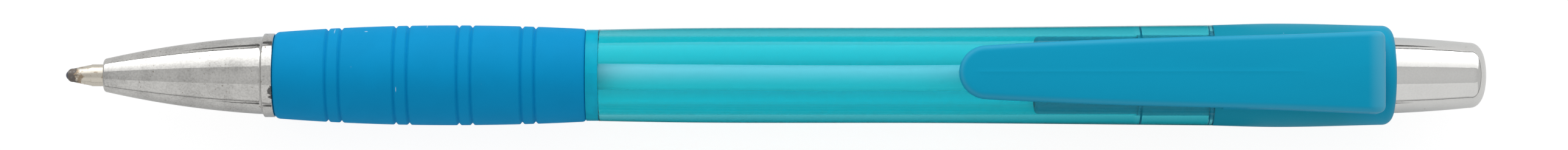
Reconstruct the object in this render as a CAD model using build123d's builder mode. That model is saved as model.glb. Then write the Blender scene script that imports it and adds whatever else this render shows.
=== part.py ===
from build123d import *
import math
import os

# A retractable ballpoint pen, modelled as the pieces it comes apart into, in millimetres.
# It lies along X with its writing tip towards -X, its clip on top (+Z) and its lowest
# point on Z = 0, in its writing position: the tip is out and the button is latched.

# Lengths along the pen, from the writing tip to the end of the button
tip_reach = 3.95
nose_length = 16.45
nose_ring_width = 1.1
grip_length = 31.95
flange_width = 1.25
barrel_length = 62.95
collar_length = 18.5
button_reach = 9.55

# Travel of the button from the writing position
press_travel = 1.5
return_travel = 5.0

# Clearances
thread_clearance = 0.05
sleeve_clearance = 0.1
sliding_clearance = 0.1
end_clearance = 0.3
seat_clearance = 0.05
fit_clearance = 0.03

# Writing ball and nib
ball_radius = 0.5
ball_clearance = 0.03
lip_reach = 0.25
lip_wall = 0.12
nib_cone_length = 2.35
nib_shank_radius = 1.13
nib_shank_length = 7.9
nib_stem_length = 4.0
ink_channel_radius = 0.25

# Refill tube, its spring ears and its ink
tube_radius = 1.335
tube_wall = 0.45
ear_reach = 0.8
ear_width = 1.0
ear_length = 1.6
ear_count = 2
ink_empty_length = 25.0

# Return spring
spring_wire = 0.4
spring_clearance = 0.2
spring_length = 20.2
spring_turns = 11
spring_wire_sides = 6
biarcs_per_turn = 2

# Nose cone
nose_tip_radius = 1.68
nose_base_radius = 3.99
nose_bulge = 0.335
nose_edge_chamfer = 0.2
nose_ring_radius = 4.3
nose_ring_chamfer = 0.12
nose_guide_length = 3.0
nib_clearance = 0.2
tube_clearance = 0.2
spring_seat_depth = 9.1
nose_spigot_radius = 3.25
nose_spigot_length = 6.0

# Grip sleeve, a soft tube that swells to a belly
grip_front_radius = 4.43
grip_belly_radius = 5.14
grip_rear_radius = 4.77
grip_belly_offset = 18.0
grip_front_chamfer = 0.3
grip_rear_chamfer = 0.35
groove_width = 0.44
groove_depth = 0.24
groove_spacing = 1.38
groove_first_offset = 6.15
groove_front_pitch = 6.95
groove_pitch = 6.48

# Lower barrel, inside the grip
grip_core_radius = 3.8
grip_bore_radius = 2.75
flange_radius = 4.69

# Upper barrel
barrel_front_radius = 4.71
barrel_shoulder_radius = 4.86
barrel_waist_radius = 4.92
barrel_rear_radius = 5.165
barrel_shoulder_offset = 8.8
barrel_waist_offset = 35.25
barrel_bore_radius = 4.1
barrel_web = 0.4
barrel_spigot_radius = 3.3
barrel_spigot_length = 7.5
mouth_relief_step = 0.4
mouth_relief_length = 0.55

# Collar and the guide sleeve that it carries inside the barrel
collar_front_radius = 5.17
collar_belly_radius = 5.32
collar_rear_radius = 5.1
collar_belly_offset = 6.5
collar_edge_round = 1.1
socket_radius = 4.15
socket_length = 7.75
sleeve_length = 18.25
sleeve_chamfer = 0.4
guide_bore_radius = 3.35
guide_wall = 2.5
button_bore_depth = 11.65

# Clip
clip_setback = 1.45
clip_length = 43.2
clip_front_width = 5.3
clip_rear_width = 8.05
clip_front_height = 7.1
clip_crest_height = 8.05
clip_crest_setback = 11.8
clip_crest_round = 60.0
clip_rear_height = 7.6
clip_rear_round = 1.2
clip_thickness = 1.6
clip_tip_thickness = 1.2
clip_pinch_gap = 0.05
clip_pinch_length = 6.5
clip_root_setback = 0.6
clip_root_height = 3.0
clip_edge_round = 0.6
clip_corner_round = 0.7

# Cam latch: ribs in the guide sleeve, rotor and plunger
crown_teeth = 8
tooth_height = 0.9
tooth_clearance = 0.15
crown_radius = 2.75
rib_count = 4
rib_length = 10.0
rib_clearance = 0.2
fin_radius = 3.2
fin_width = 1.2
fin_length = 5.7
fin_gap = 0.3
slot_clearance = 0.15
rotor_web = 4.65
rotor_neck_radius = 2.1
rotor_socket_depth = 3.5
pilot_radius = 1.3
pilot_length = 2.5
pilot_clearance = 0.15
spline_length = 4.2
stem_radius = 2.1
stem_clearance = 0.15
stem_seat_depth = 9.0

# Push button
button_radius = 3.9
button_rim_radius = 3.27
button_crown = 0.35
button_edge_round = 1.65
button_skirt_chamfer = 0.25

# Stations along the pen, with its overall length centred on the origin
overall_length = (
    tip_reach
    + nose_length
    + nose_ring_width
    + grip_length
    + flange_width
    + barrel_length
    + collar_length
    + button_reach
)
tip_x = -overall_length / 2
nose_x = tip_x + tip_reach
ring_x = nose_x + nose_length
grip_x = ring_x + nose_ring_width
flange_x = grip_x + grip_length
seam_x = flange_x + flange_width
collar_x = seam_x + barrel_length
collar_end_x = collar_x + collar_length
button_end_x = collar_end_x + button_reach

# The pen rests on its widest round, so that is how high its axis lies
axis_height = max(collar_belly_radius, grip_belly_radius)
pen_axis = Axis((0, 0, axis_height), (1, 0, 0))
pen_plane = Plane(origin=(0, 0, axis_height), x_dir=(1, 0, 0), z_dir=(0, -1, 0))


def section_plane(x):
    """Plane square to the pen at station x, facing the button end."""
    return Plane(origin=(x, 0, axis_height), x_dir=(0, 1, 0), z_dir=(1, 0, 0))


def radial_plane(x, angle, distance=0.0):
    """Plane along the pen at station x that faces outwards, at an angle in degrees from the top."""
    turn = math.radians(angle)
    outwards = (0, math.sin(turn), math.cos(turn))
    return Plane(origin=(x, 0, axis_height), x_dir=(1, 0, 0), z_dir=outwards).offset(distance)


def ring_of_planes(x, count, first_angle, distance=0.0):
    """Radial planes at even steps around the pen."""
    return [radial_plane(x, first_angle + 360 / count * step, distance) for step in range(count)]


# Nose cone: a chromed ogive with the spring's chamber inside and a spigot behind its ring
nib_hole_radius = nib_shank_radius + nib_clearance
tube_hole_radius = tube_radius + tube_clearance
spring_radius = tube_radius + spring_clearance + spring_wire / 2
spring_bore_radius = spring_radius + spring_wire / 2 + spring_clearance
nib_guide_x = nose_x + nose_guide_length
spring_seat_x = nose_x + spring_seat_depth
nose_spigot_x = grip_x + nose_spigot_length

with BuildPart() as nose_cone:
    with BuildSketch(pen_plane):
        with BuildLine():
            SagittaArc((nose_x, nose_tip_radius), (ring_x, nose_base_radius), nose_bulge)
            Polyline(
                (ring_x, nose_base_radius),
                (ring_x, nose_ring_radius),
                (grip_x, nose_ring_radius),
                (grip_x, nose_spigot_radius),
                (nose_spigot_x, nose_spigot_radius),
                (nose_spigot_x, spring_bore_radius),
                (spring_seat_x, spring_bore_radius),
                (spring_seat_x, tube_hole_radius),
                (nib_guide_x, tube_hole_radius),
                (nib_guide_x, nib_hole_radius),
                (nose_x, nib_hole_radius),
                (nose_x, nose_tip_radius),
            )
        make_face()
    revolve(axis=pen_axis)
    rims = nose_cone.edges().filter_by(lambda edge: edge.is_closed)
    chamfer(rims.sort_by(SortBy.RADIUS)[-2:], nose_ring_chamfer)
    chamfer(nose_cone.edges().group_by(Axis.X)[0].sort_by(SortBy.RADIUS)[-1], nose_edge_chamfer)
nose_cone.part.label = "nose_cone"

# Grip sleeve: its outside rises to a belly on one arc and falls behind it on another, and pairs of
# fine grooves ring it; between two grooves the outline is straight, within 0.02 mm of the arc
grip_belly_x = grip_x + grip_belly_offset


def grip_radius(x):
    """Outer radius of the grip at station x, on the arc before or behind the belly."""
    end_x, end_radius = (grip_x, grip_front_radius) if x < grip_belly_x else (flange_x, grip_rear_radius)
    fall = grip_belly_radius - end_radius
    arc = ((end_x - grip_belly_x) ** 2 + fall**2) / (2 * fall)
    return grip_belly_radius - arc + math.sqrt(arc**2 - (x - grip_belly_x) ** 2)


def grip_point(x, depth=0.0):
    """Point of the grip's outline at station x, at a depth under its outside."""
    return (x, grip_radius(x) - depth)


grip_inner_radius = grip_core_radius + fit_clearance
groove_pairs = [grip_x + groove_first_offset]
groove_pairs.append(groove_pairs[-1] + groove_front_pitch)
while groove_pairs[-1] + groove_pitch + groove_spacing < flange_x:
    groove_pairs.append(groove_pairs[-1] + groove_pitch)

grip_outline = [
    grip_point(grip_x, grip_front_chamfer),
    grip_point(grip_x + grip_front_chamfer),
]
for pair_x in groove_pairs:
    for groove_x in (pair_x - groove_spacing / 2, pair_x + groove_spacing / 2):
        grip_outline.append(grip_point(groove_x - groove_width / 2))
        grip_outline.append(grip_point(groove_x, groove_depth))
        grip_outline.append(grip_point(groove_x + groove_width / 2))
grip_outline.append(grip_point(flange_x - grip_rear_chamfer))
grip_outline.append(grip_point(flange_x, grip_rear_chamfer))

with BuildPart() as grip_sleeve:
    with BuildSketch(pen_plane):
        with BuildLine():
            Polyline(
                *grip_outline,
                (flange_x, grip_inner_radius),
                (grip_x, grip_inner_radius),
                close=True,
            )
        make_face()
    revolve(axis=pen_axis)
grip_sleeve.part.label = "grip_sleeve"

# Lower barrel: a tinted tube under the grip, with a socket at each end and a flange behind
nose_socket_x = nose_spigot_x + end_clearance
nose_socket_radius = nose_spigot_radius + thread_clearance
barrel_spigot_x = seam_x - barrel_spigot_length
barrel_socket_x = barrel_spigot_x - end_clearance
barrel_socket_radius = barrel_spigot_radius + thread_clearance

with BuildPart() as grip_barrel:
    with BuildSketch(pen_plane):
        with BuildLine():
            Polyline(
                (grip_x, nose_socket_radius),
                (grip_x, grip_core_radius),
                (flange_x, grip_core_radius),
                (flange_x, flange_radius),
                (seam_x, flange_radius),
                (seam_x, barrel_socket_radius),
                (barrel_socket_x, barrel_socket_radius),
                (barrel_socket_x, grip_bore_radius),
                (nose_socket_x, grip_bore_radius),
                (nose_socket_x, nose_socket_radius),
                close=True,
            )
        make_face()
    revolve(axis=pen_axis)
grip_barrel.part.label = "grip_barrel"

# Upper barrel: a tinted tube in three slight tapers, with a spigot in front and a wider mouth
# for the collar behind, relieved where the two meet
barrel_mouth_radius = socket_radius + thread_clearance
mouth_relief_radius = barrel_mouth_radius + mouth_relief_step
barrel_step_x = collar_x - socket_length - end_clearance
barrel_web_x = seam_x + barrel_web

with BuildPart() as upper_barrel:
    with BuildSketch(pen_plane):
        with BuildLine():
            Polyline(
                (seam_x, barrel_front_radius),
                (seam_x + barrel_shoulder_offset, barrel_shoulder_radius),
                (seam_x + barrel_waist_offset, barrel_waist_radius),
                (collar_x, barrel_rear_radius),
                (collar_x, mouth_relief_radius),
                (collar_x - mouth_relief_length, mouth_relief_radius),
                (collar_x - mouth_relief_length, barrel_mouth_radius),
                (barrel_step_x, barrel_mouth_radius),
                (barrel_step_x, barrel_bore_radius),
                (barrel_web_x, barrel_bore_radius),
                (barrel_web_x, grip_bore_radius),
                (barrel_spigot_x, grip_bore_radius),
                (barrel_spigot_x, barrel_spigot_radius),
                (seam_x, barrel_spigot_radius),
                close=True,
            )
        make_face()
    revolve(axis=pen_axis)
upper_barrel.part.label = "upper_barrel"

# Stations of the cam latch in the writing position
button_seat_x = collar_end_x - button_bore_depth
slot_end_x = button_seat_x - guide_wall
rib_x = slot_end_x - rib_length
crown_x = rib_x - fin_gap
refill_end_x = crown_x - rotor_web - seat_clearance
tooth_half_pitch = math.pi * crown_radius / crown_teeth
tooth_turn = 360 / crown_teeth / 4
slot_width = fin_width + 2 * slot_clearance
slot_angle = 360 / rib_count

# Guide ribs: four lands inside the sleeve, with a slot between each two and a latch notch in
# each front end, where the rotor's fins rest while the tip is out
rib_inner_radius = crown_radius + rib_clearance
sleeve_radius = barrel_bore_radius - sleeve_clearance
rib_root_radius = (guide_bore_radius + sleeve_radius) / 2

with BuildPart() as guide_ribs:
    with BuildSketch(section_plane(rib_x)):
        Circle(rib_root_radius)
        Circle(rib_inner_radius, mode=Mode.SUBTRACT)
        with PolarLocations(0, rib_count):
            Rectangle(rib_root_radius, slot_width, align=(Align.MIN, Align.CENTER), mode=Mode.SUBTRACT)
    extrude(amount=rib_length)
    with BuildSketch(*ring_of_planes(rib_x, rib_count, slot_angle / 2)):
        Polygon((0, -tooth_half_pitch), (tooth_height, 0), (0, tooth_half_pitch), align=None)
    extrude(amount=rib_root_radius, mode=Mode.SUBTRACT)

# Clip: its side view, cut to its outline from above. Its arm rises to a crest over the collar and
# rounds down behind it, and under its tip a bump closes on the barrel
clip_rear_x = collar_end_x - clip_setback
clip_front_x = clip_rear_x - clip_length
clip_crest_x = clip_rear_x - clip_crest_setback
clip_root_x = collar_x + clip_root_setback
clip_slope = (clip_crest_height - clip_front_height) / (clip_crest_x - clip_front_x)
clip_tip_under = clip_front_height - clip_tip_thickness
clip_pinch_height = barrel_rear_radius + clip_pinch_gap
clip_pinch_end_x = clip_front_x + clip_pinch_length
clip_tip_radius = clip_front_width / 2


def clip_under(x):
    """Height of the underside of the clip's arm over the axis, at station x."""
    return clip_front_height + clip_slope * (x - clip_front_x) - clip_thickness


with BuildPart() as clip:
    with BuildSketch(pen_plane) as clip_side:
        with BuildLine():
            Polyline(
                (clip_pinch_end_x, clip_under(clip_pinch_end_x)),
                (clip_root_x, clip_under(clip_root_x)),
                (clip_root_x, clip_root_height),
                (clip_rear_x, clip_root_height),
                (clip_rear_x, clip_rear_height),
                (clip_crest_x, clip_crest_height),
                (clip_front_x, clip_front_height),
                (clip_front_x, clip_tip_under),
            )
            ThreePointArc(
                (clip_front_x, clip_tip_under),
                ((clip_front_x + clip_pinch_end_x) / 2, clip_pinch_height),
                (clip_pinch_end_x, clip_under(clip_pinch_end_x)),
            )
        make_face()
        fillet(clip_side.vertices().sort_by(Axis.Y)[-1], clip_crest_round)
        fillet(clip_side.vertices().group_by(Axis.X)[-1].sort_by(Axis.Y)[-1], clip_rear_round)
    extrude(amount=clip_rear_width, both=True)
    with BuildSketch(Plane.XY) as clip_plan:
        with BuildLine():
            ThreePointArc(
                (clip_front_x + clip_tip_radius, clip_tip_radius),
                (clip_front_x, 0),
                (clip_front_x + clip_tip_radius, -clip_tip_radius),
            )
            Polyline(
                (clip_front_x + clip_tip_radius, -clip_tip_radius),
                (clip_rear_x, -clip_rear_width / 2),
                (clip_rear_x, clip_rear_width / 2),
                (clip_front_x + clip_tip_radius, clip_tip_radius),
            )
        make_face()
        fillet(clip_plan.vertices().group_by(Axis.X)[-1], clip_corner_round)
    extrude(amount=axis_height + 2 * clip_crest_height, mode=Mode.INTERSECT)
    clip_top = clip.faces().filter_by(lambda face: face.normal_at().Z > 0.5)
    fillet(clip_top.edges().filter_by(Axis.Y, reverse=True), clip_edge_round)

# Clip and collar: one moulding with the guide sleeve, which plugs into the upper barrel
collar_belly_x = collar_x + collar_belly_offset
sleeve_x = collar_x - sleeve_length
button_bore_radius = button_radius + sliding_clearance
stem_hole_radius = stem_radius + stem_clearance

with BuildPart() as clip_collar:
    with BuildSketch(pen_plane):
        with BuildLine():
            Polyline(
                (collar_x, collar_front_radius),
                (collar_belly_x, collar_belly_radius),
                (collar_end_x, collar_rear_radius),
                (collar_end_x, 0),
                (sleeve_x, 0),
                (sleeve_x, sleeve_radius - sleeve_chamfer),
                (sleeve_x + sleeve_chamfer, sleeve_radius),
                (collar_x - socket_length, sleeve_radius),
                (collar_x - socket_length, socket_radius),
                (collar_x, socket_radius),
                close=True,
            )
        make_face()
    revolve(axis=pen_axis)
    fillet(clip_collar.edges().group_by(Axis.X)[-1], collar_edge_round)
    add(clip.part)
    with BuildSketch(pen_plane):
        with BuildLine():
            Polyline(
                (sleeve_x, 0),
                (sleeve_x, guide_bore_radius),
                (slot_end_x, guide_bore_radius),
                (slot_end_x, stem_hole_radius),
                (button_seat_x, stem_hole_radius),
                (button_seat_x, button_bore_radius),
                (collar_end_x, button_bore_radius),
                (collar_end_x, 0),
                close=True,
            )
        make_face()
    revolve(axis=pen_axis, mode=Mode.SUBTRACT)
    add(guide_ribs.part)
clip_collar.part.label = "clip_collar"

# Cam rotor: a socket for the refill, fins that run in the slots and a crown of teeth behind
rotor_x = refill_end_x - rotor_socket_depth
fin_x = crown_x - fin_length

with BuildPart() as cam_rotor:
    with BuildSketch(pen_plane):
        with BuildLine():
            Polyline(
                (rotor_x, tube_radius + sliding_clearance),
                (rotor_x, rotor_neck_radius),
                (fin_x, rotor_neck_radius),
                (fin_x, crown_radius),
                (crown_x, crown_radius),
                (crown_x, 0),
                (refill_end_x + seat_clearance, 0),
                (refill_end_x + seat_clearance, tube_radius + sliding_clearance),
                close=True,
            )
        make_face()
    revolve(axis=pen_axis)
    with BuildSketch(*ring_of_planes(fin_x, rib_count, 0, crown_radius / 2)):
        Rectangle(fin_length, fin_width, align=(Align.MIN, Align.CENTER))
    extrude(amount=fin_radius - crown_radius / 2)
    with BuildSketch(*ring_of_planes(crown_x, crown_teeth, tooth_turn)):
        Polygon((0, -tooth_half_pitch), (-tooth_height, 0), (0, tooth_half_pitch), align=None)
    extrude(amount=guide_bore_radius, mode=Mode.SUBTRACT)
    with BuildSketch(section_plane(crown_x + pilot_length)):
        Circle(pilot_radius)
    extrude(amount=-pilot_length - 2 * tooth_height)
cam_rotor.part.label = "cam_rotor"

# Plunger: a crown that meets the rotor's teeth, splines in the slots and a stem for the button
plunger_x = crown_x - tooth_height / 2 + tooth_clearance
spline_end_x = slot_end_x - return_travel - end_clearance
button_front_x = button_seat_x + press_travel + end_clearance
stem_end_x = button_front_x + stem_seat_depth
pilot_socket_x = crown_x + pilot_length + end_clearance

with BuildPart() as plunger:
    with BuildSketch(pen_plane):
        with BuildLine():
            Polyline(
                (plunger_x, pilot_radius + pilot_clearance),
                (plunger_x, crown_radius),
                (spline_end_x, crown_radius),
                (spline_end_x, stem_radius),
                (stem_end_x, stem_radius),
                (stem_end_x, 0),
                (pilot_socket_x, 0),
                (pilot_socket_x, pilot_radius + pilot_clearance),
                close=True,
            )
        make_face()
    revolve(axis=pen_axis)
    with BuildSketch(*ring_of_planes(plunger_x, crown_teeth, 0)):
        Polygon((0, -tooth_half_pitch), (tooth_height, 0), (0, tooth_half_pitch), align=None)
    extrude(amount=guide_bore_radius, mode=Mode.SUBTRACT)
    with BuildSketch(*ring_of_planes(spline_end_x, rib_count, 0, crown_radius / 2 + stem_radius / 2)):
        Rectangle(spline_length, fin_width, align=(Align.MAX, Align.CENTER))
    extrude(amount=fin_radius - crown_radius / 2 - stem_radius / 2)
plunger.part.label = "plunger"

# Push button: a chromed cap, pressed on the plunger's stem
button_rim_x = button_end_x - button_crown
button_socket_radius = stem_radius + fit_clearance

with BuildPart() as push_button:
    with BuildSketch(pen_plane) as button_half:
        with BuildLine():
            Polyline(
                (button_front_x, button_socket_radius),
                (button_front_x, button_radius - button_skirt_chamfer),
                (button_front_x + button_skirt_chamfer, button_radius),
                (collar_end_x, button_radius),
                (button_rim_x, button_rim_radius),
            )
            TangentArc((button_end_x, 0), (button_rim_x, button_rim_radius), tangent=(0, 1))
            Polyline(
                (button_end_x, 0),
                (stem_end_x + seat_clearance, 0),
                (stem_end_x + seat_clearance, button_socket_radius),
                (button_front_x, button_socket_radius),
            )
        make_face()
        fillet(button_half.vertices().sort_by(Axis.X)[-2], button_edge_round)
    revolve(axis=pen_axis)
push_button.part.label = "push_button"

# Refill tube, with the two pinched ears that the spring pushes on
ball_x = tip_x + ball_radius
cone_x = ball_x - lip_reach
shank_x = cone_x + nib_cone_length
tube_x = shank_x + nib_shank_length
tube_bore_radius = tube_radius - tube_wall
stem_x = tube_x + nib_stem_length
ear_x = spring_seat_x + spring_length + 2 * seat_clearance

with BuildPart() as refill_tube:
    with BuildSketch(pen_plane):
        with BuildLine():
            Polyline(
                (tube_x, tube_bore_radius),
                (tube_x, tube_radius),
                (refill_end_x, tube_radius),
                (refill_end_x, tube_bore_radius),
                close=True,
            )
        make_face()
    revolve(axis=pen_axis)
    with BuildSketch(*ring_of_planes(ear_x, ear_count, 90, (tube_bore_radius + tube_radius) / 2)):
        Rectangle(ear_length, ear_width, align=(Align.MIN, Align.CENTER))
    extrude(amount=ear_reach + tube_wall / 2)
refill_tube.part.label = "refill_tube"

# Ink column, from the nib's stem to where the tube is empty
ink_radius = tube_bore_radius - fit_clearance
ink_end_x = refill_end_x - ink_empty_length

with BuildPart() as ink_column:
    with BuildSketch(section_plane(stem_x)):
        Circle(ink_radius)
    extrude(amount=ink_end_x - stem_x)
ink_column.part.label = "ink_column"

# Nib: a turned metal point, drilled for the ink, whose lip holds the ball in its seat
seat_radius = ball_radius + ball_clearance
lip_mouth_radius = math.sqrt(seat_radius**2 - lip_reach**2)
channel_x = ball_x + math.sqrt(seat_radius**2 - ink_channel_radius**2)
stem_fit_radius = tube_bore_radius - fit_clearance

with BuildPart() as nib:
    with BuildSketch(pen_plane):
        with BuildLine():
            ThreePointArc(
                (cone_x, lip_mouth_radius),
                (ball_x, seat_radius),
                (channel_x, ink_channel_radius),
            )
            Polyline(
                (channel_x, ink_channel_radius),
                (stem_x, ink_channel_radius),
                (stem_x, stem_fit_radius),
                (tube_x, stem_fit_radius),
                (tube_x, nib_shank_radius),
                (shank_x, nib_shank_radius),
                (cone_x, lip_mouth_radius + lip_wall),
                (cone_x, lip_mouth_radius),
            )
        make_face()
    revolve(axis=pen_axis)
nib.part.label = "nib"

# Writing ball, free to roll in the nib's seat
with BuildPart() as writing_ball:
    with Locations((ball_x, 0, axis_height)):
        Sphere(ball_radius)
writing_ball.part.label = "writing_ball"

# Return spring: one wire on a helix round the refill tube, laid as pairs of tangent arcs; the wire
# has six flats, to keep its many turns light
spring_start_x = spring_seat_x + seat_clearance + spring_wire / 2
spring_pitch = (spring_length - spring_wire) / spring_turns


def spring_point(turn):
    """Point on the spring's centre line after a number of turns."""
    angle = 2 * math.pi * turn
    across = spring_radius * math.sin(angle)
    up = spring_radius * math.cos(angle)
    return Vector(spring_start_x + spring_pitch * turn, across, axis_height + up)


def spring_tangent(turn):
    """Unit direction of the spring's centre line after a number of turns."""
    angle = 2 * math.pi * turn
    around = 2 * math.pi * spring_radius
    return Vector(spring_pitch, around * math.cos(angle), -around * math.sin(angle)).normalized()


def biarc_middle(start, start_way, end, end_way):
    """Point and direction where two arcs of equal tangent length meet, between two directed points."""
    span = end - start
    ways = start_way + end_way
    spread = 2 * (1 - start_way.dot(end_way))
    reach = (math.sqrt(span.dot(ways) ** 2 + spread * span.dot(span)) - span.dot(ways)) / spread
    start_corner = start + start_way * reach
    end_corner = end - end_way * reach
    return (start_corner + end_corner) / 2, end_corner - start_corner


with BuildPart() as return_spring:
    with BuildLine() as spring_path:
        for step in range(spring_turns * biarcs_per_turn):
            start = spring_point(step / biarcs_per_turn)
            end = spring_point((step + 1) / biarcs_per_turn)
            start_way = spring_tangent(step / biarcs_per_turn)
            end_way = spring_tangent((step + 1) / biarcs_per_turn)
            middle, middle_way = biarc_middle(start, start_way, end, end_way)
            TangentArc(start, middle, tangent=start_way)
            TangentArc(middle, end, tangent=middle_way)
    with BuildSketch(Plane(origin=spring_point(0), z_dir=spring_tangent(0))):
        RegularPolygon(spring_wire / 2, spring_wire_sides)
    sweep(path=spring_path.line)
return_spring.part.label = "return_spring"

# Least gap between one turn of the spring and the next, measured on points of its centre line
spring_samples = [spring_point(step / 24) for step in range(24 * spring_turns + 1)]
spring_gap = min(
    (spring_samples[near] - spring_samples[far]).length - spring_wire
    for near in range(len(spring_samples))
    for far in range(near + 12, len(spring_samples))
)
print(f"overall length {overall_length:.2f}, refill length {refill_end_x - tip_x:.2f}")
print(f"least gap between the spring's turns {spring_gap:.2f}")

pieces = [
    nose_cone,
    grip_sleeve,
    grip_barrel,
    upper_barrel,
    clip_collar,
    cam_rotor,
    plunger,
    push_button,
    refill_tube,
    ink_column,
    nib,
    writing_ball,
    return_spring,
]
os.makedirs("parts", exist_ok=True)
for piece in pieces:
    export_step(piece.part, f"parts/{piece.part.label}.step")
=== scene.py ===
"""Studio scene of a retractable ballpoint pen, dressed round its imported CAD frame.

The pen lies along X on a pale floor, with its writing tip towards -X and its clip on top. The sizes here
are in metres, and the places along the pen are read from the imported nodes.
"""

import logging
import math
from dataclasses import dataclass, replace
from enum import Enum
from functools import reduce
from typing import Callable, Iterable

import bmesh
import bpy
from mathutils import Matrix, Vector


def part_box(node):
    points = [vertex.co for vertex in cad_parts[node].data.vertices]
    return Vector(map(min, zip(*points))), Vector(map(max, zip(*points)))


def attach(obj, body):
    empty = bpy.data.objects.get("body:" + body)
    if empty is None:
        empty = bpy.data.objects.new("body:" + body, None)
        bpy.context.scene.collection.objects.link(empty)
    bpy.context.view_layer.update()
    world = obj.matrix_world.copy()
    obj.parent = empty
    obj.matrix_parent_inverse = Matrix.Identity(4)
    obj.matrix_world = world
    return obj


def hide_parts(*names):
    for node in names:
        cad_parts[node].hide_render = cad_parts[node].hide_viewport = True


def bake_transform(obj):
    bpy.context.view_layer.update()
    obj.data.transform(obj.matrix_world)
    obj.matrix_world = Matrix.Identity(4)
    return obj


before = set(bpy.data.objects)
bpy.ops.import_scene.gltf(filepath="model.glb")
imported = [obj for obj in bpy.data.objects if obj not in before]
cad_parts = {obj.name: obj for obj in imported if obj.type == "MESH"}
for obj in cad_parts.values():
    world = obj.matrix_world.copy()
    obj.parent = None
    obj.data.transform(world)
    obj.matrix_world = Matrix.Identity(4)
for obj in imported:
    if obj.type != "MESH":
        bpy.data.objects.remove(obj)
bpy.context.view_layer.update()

Point = tuple[float, float]
Span = tuple[float, float]
Triple = tuple[float, float, float]
Colour = tuple[float, float, float, float]
Socket = bpy.types.NodeSocket

LOG = logging.getLogger("pen")
MM = 0.001
TURN_STEPS = 160
ARC_STEPS = 24
MERGE_DISTANCE = 1e-7
RIM_TOLERANCE = 2e-6
SHARP_ANGLE = math.radians(32)
FULL_TURN = 2 * math.pi
ALONG: Triple = (1.0, 0.0, 0.0)
ACROSS: Triple = (0.0, 1.0, 0.0)
WHITE: Colour = (1.0, 1.0, 1.0, 1.0)
WORN_AND_HIGHLIGHT_LAYER = "worn"
PAINTED_SHADE_LAYER = "painted_shade"

# Sockets of a colour Mix node, which has several of each name.
MIX_SHARE, MIX_BASE, MIX_OVER, MIX_RESULT = 0, 6, 7, 2

# Levels of a cloudy pattern between which a mask rises.
PATCHY: Span = (0.4, 0.6)
SOFT: Span = (0.35, 0.65)
FADED: Span = (0.35, 0.7)

# Fineness and octaves of the pattern that makes specks ragged.
STRAY_FINENESS = 4.0
STRAY_DETAIL = 2.0


class Body(Enum):
    """Moving bodies that carry new pieces, by their names in the frame."""

    BARREL = "barrel"
    BUTTON = "button"
    REFILL = "refill"


class Side(Enum):
    """Side of the pen that a lamp or a card is on, as the sign of its Y."""

    CLIP_LEFT = 1
    CLIP_RIGHT = -1


class Rounding(Enum):
    """What a rounding takes off, in the bevel's own words."""

    EDGES = "EDGES"
    CORNERS = "VERTICES"


@dataclass(frozen=True)
class Stations:
    """Places along the pen and the height of its axis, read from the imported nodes."""

    nib: float
    nose: float
    nose_end: float
    grip: float
    flange: float
    seam: float
    barrel_front: float
    collar: float
    collar_end: float
    clip: float
    button_front: float
    button_end: float
    tube: float
    refill_end: float
    spring: float
    spring_end: float
    axis: float

    @classmethod
    def from_frame(cls) -> "Stations":
        """Reads the stations.

        Returns:
            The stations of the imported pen.
        """
        button_low, button_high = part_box("push_button")
        spring_low, spring_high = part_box("return_spring")
        return cls(
            nib=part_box("nib")[0].x,
            nose=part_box("nose_cone")[0].x,
            nose_end=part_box("nose_cone")[1].x,
            grip=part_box("grip_sleeve")[0].x,
            flange=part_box("grip_sleeve")[1].x,
            seam=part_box("grip_barrel")[1].x,
            barrel_front=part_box("upper_barrel")[0].x,
            collar=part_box("upper_barrel")[1].x,
            collar_end=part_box("clip_collar")[1].x,
            clip=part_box("clip_collar")[0].x,
            button_front=button_low.x,
            button_end=button_high.x,
            tube=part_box("refill_tube")[0].x,
            refill_end=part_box("refill_tube")[1].x,
            spring=spring_low.x,
            spring_end=spring_high.x,
            axis=(button_low.z + button_high.z) / 2,
        )


@dataclass(frozen=True)
class Rim:
    """A round edge of a turned piece, and the radius that it is rounded to."""

    station: float
    radius: float
    rounding: float
    segments: int


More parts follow.
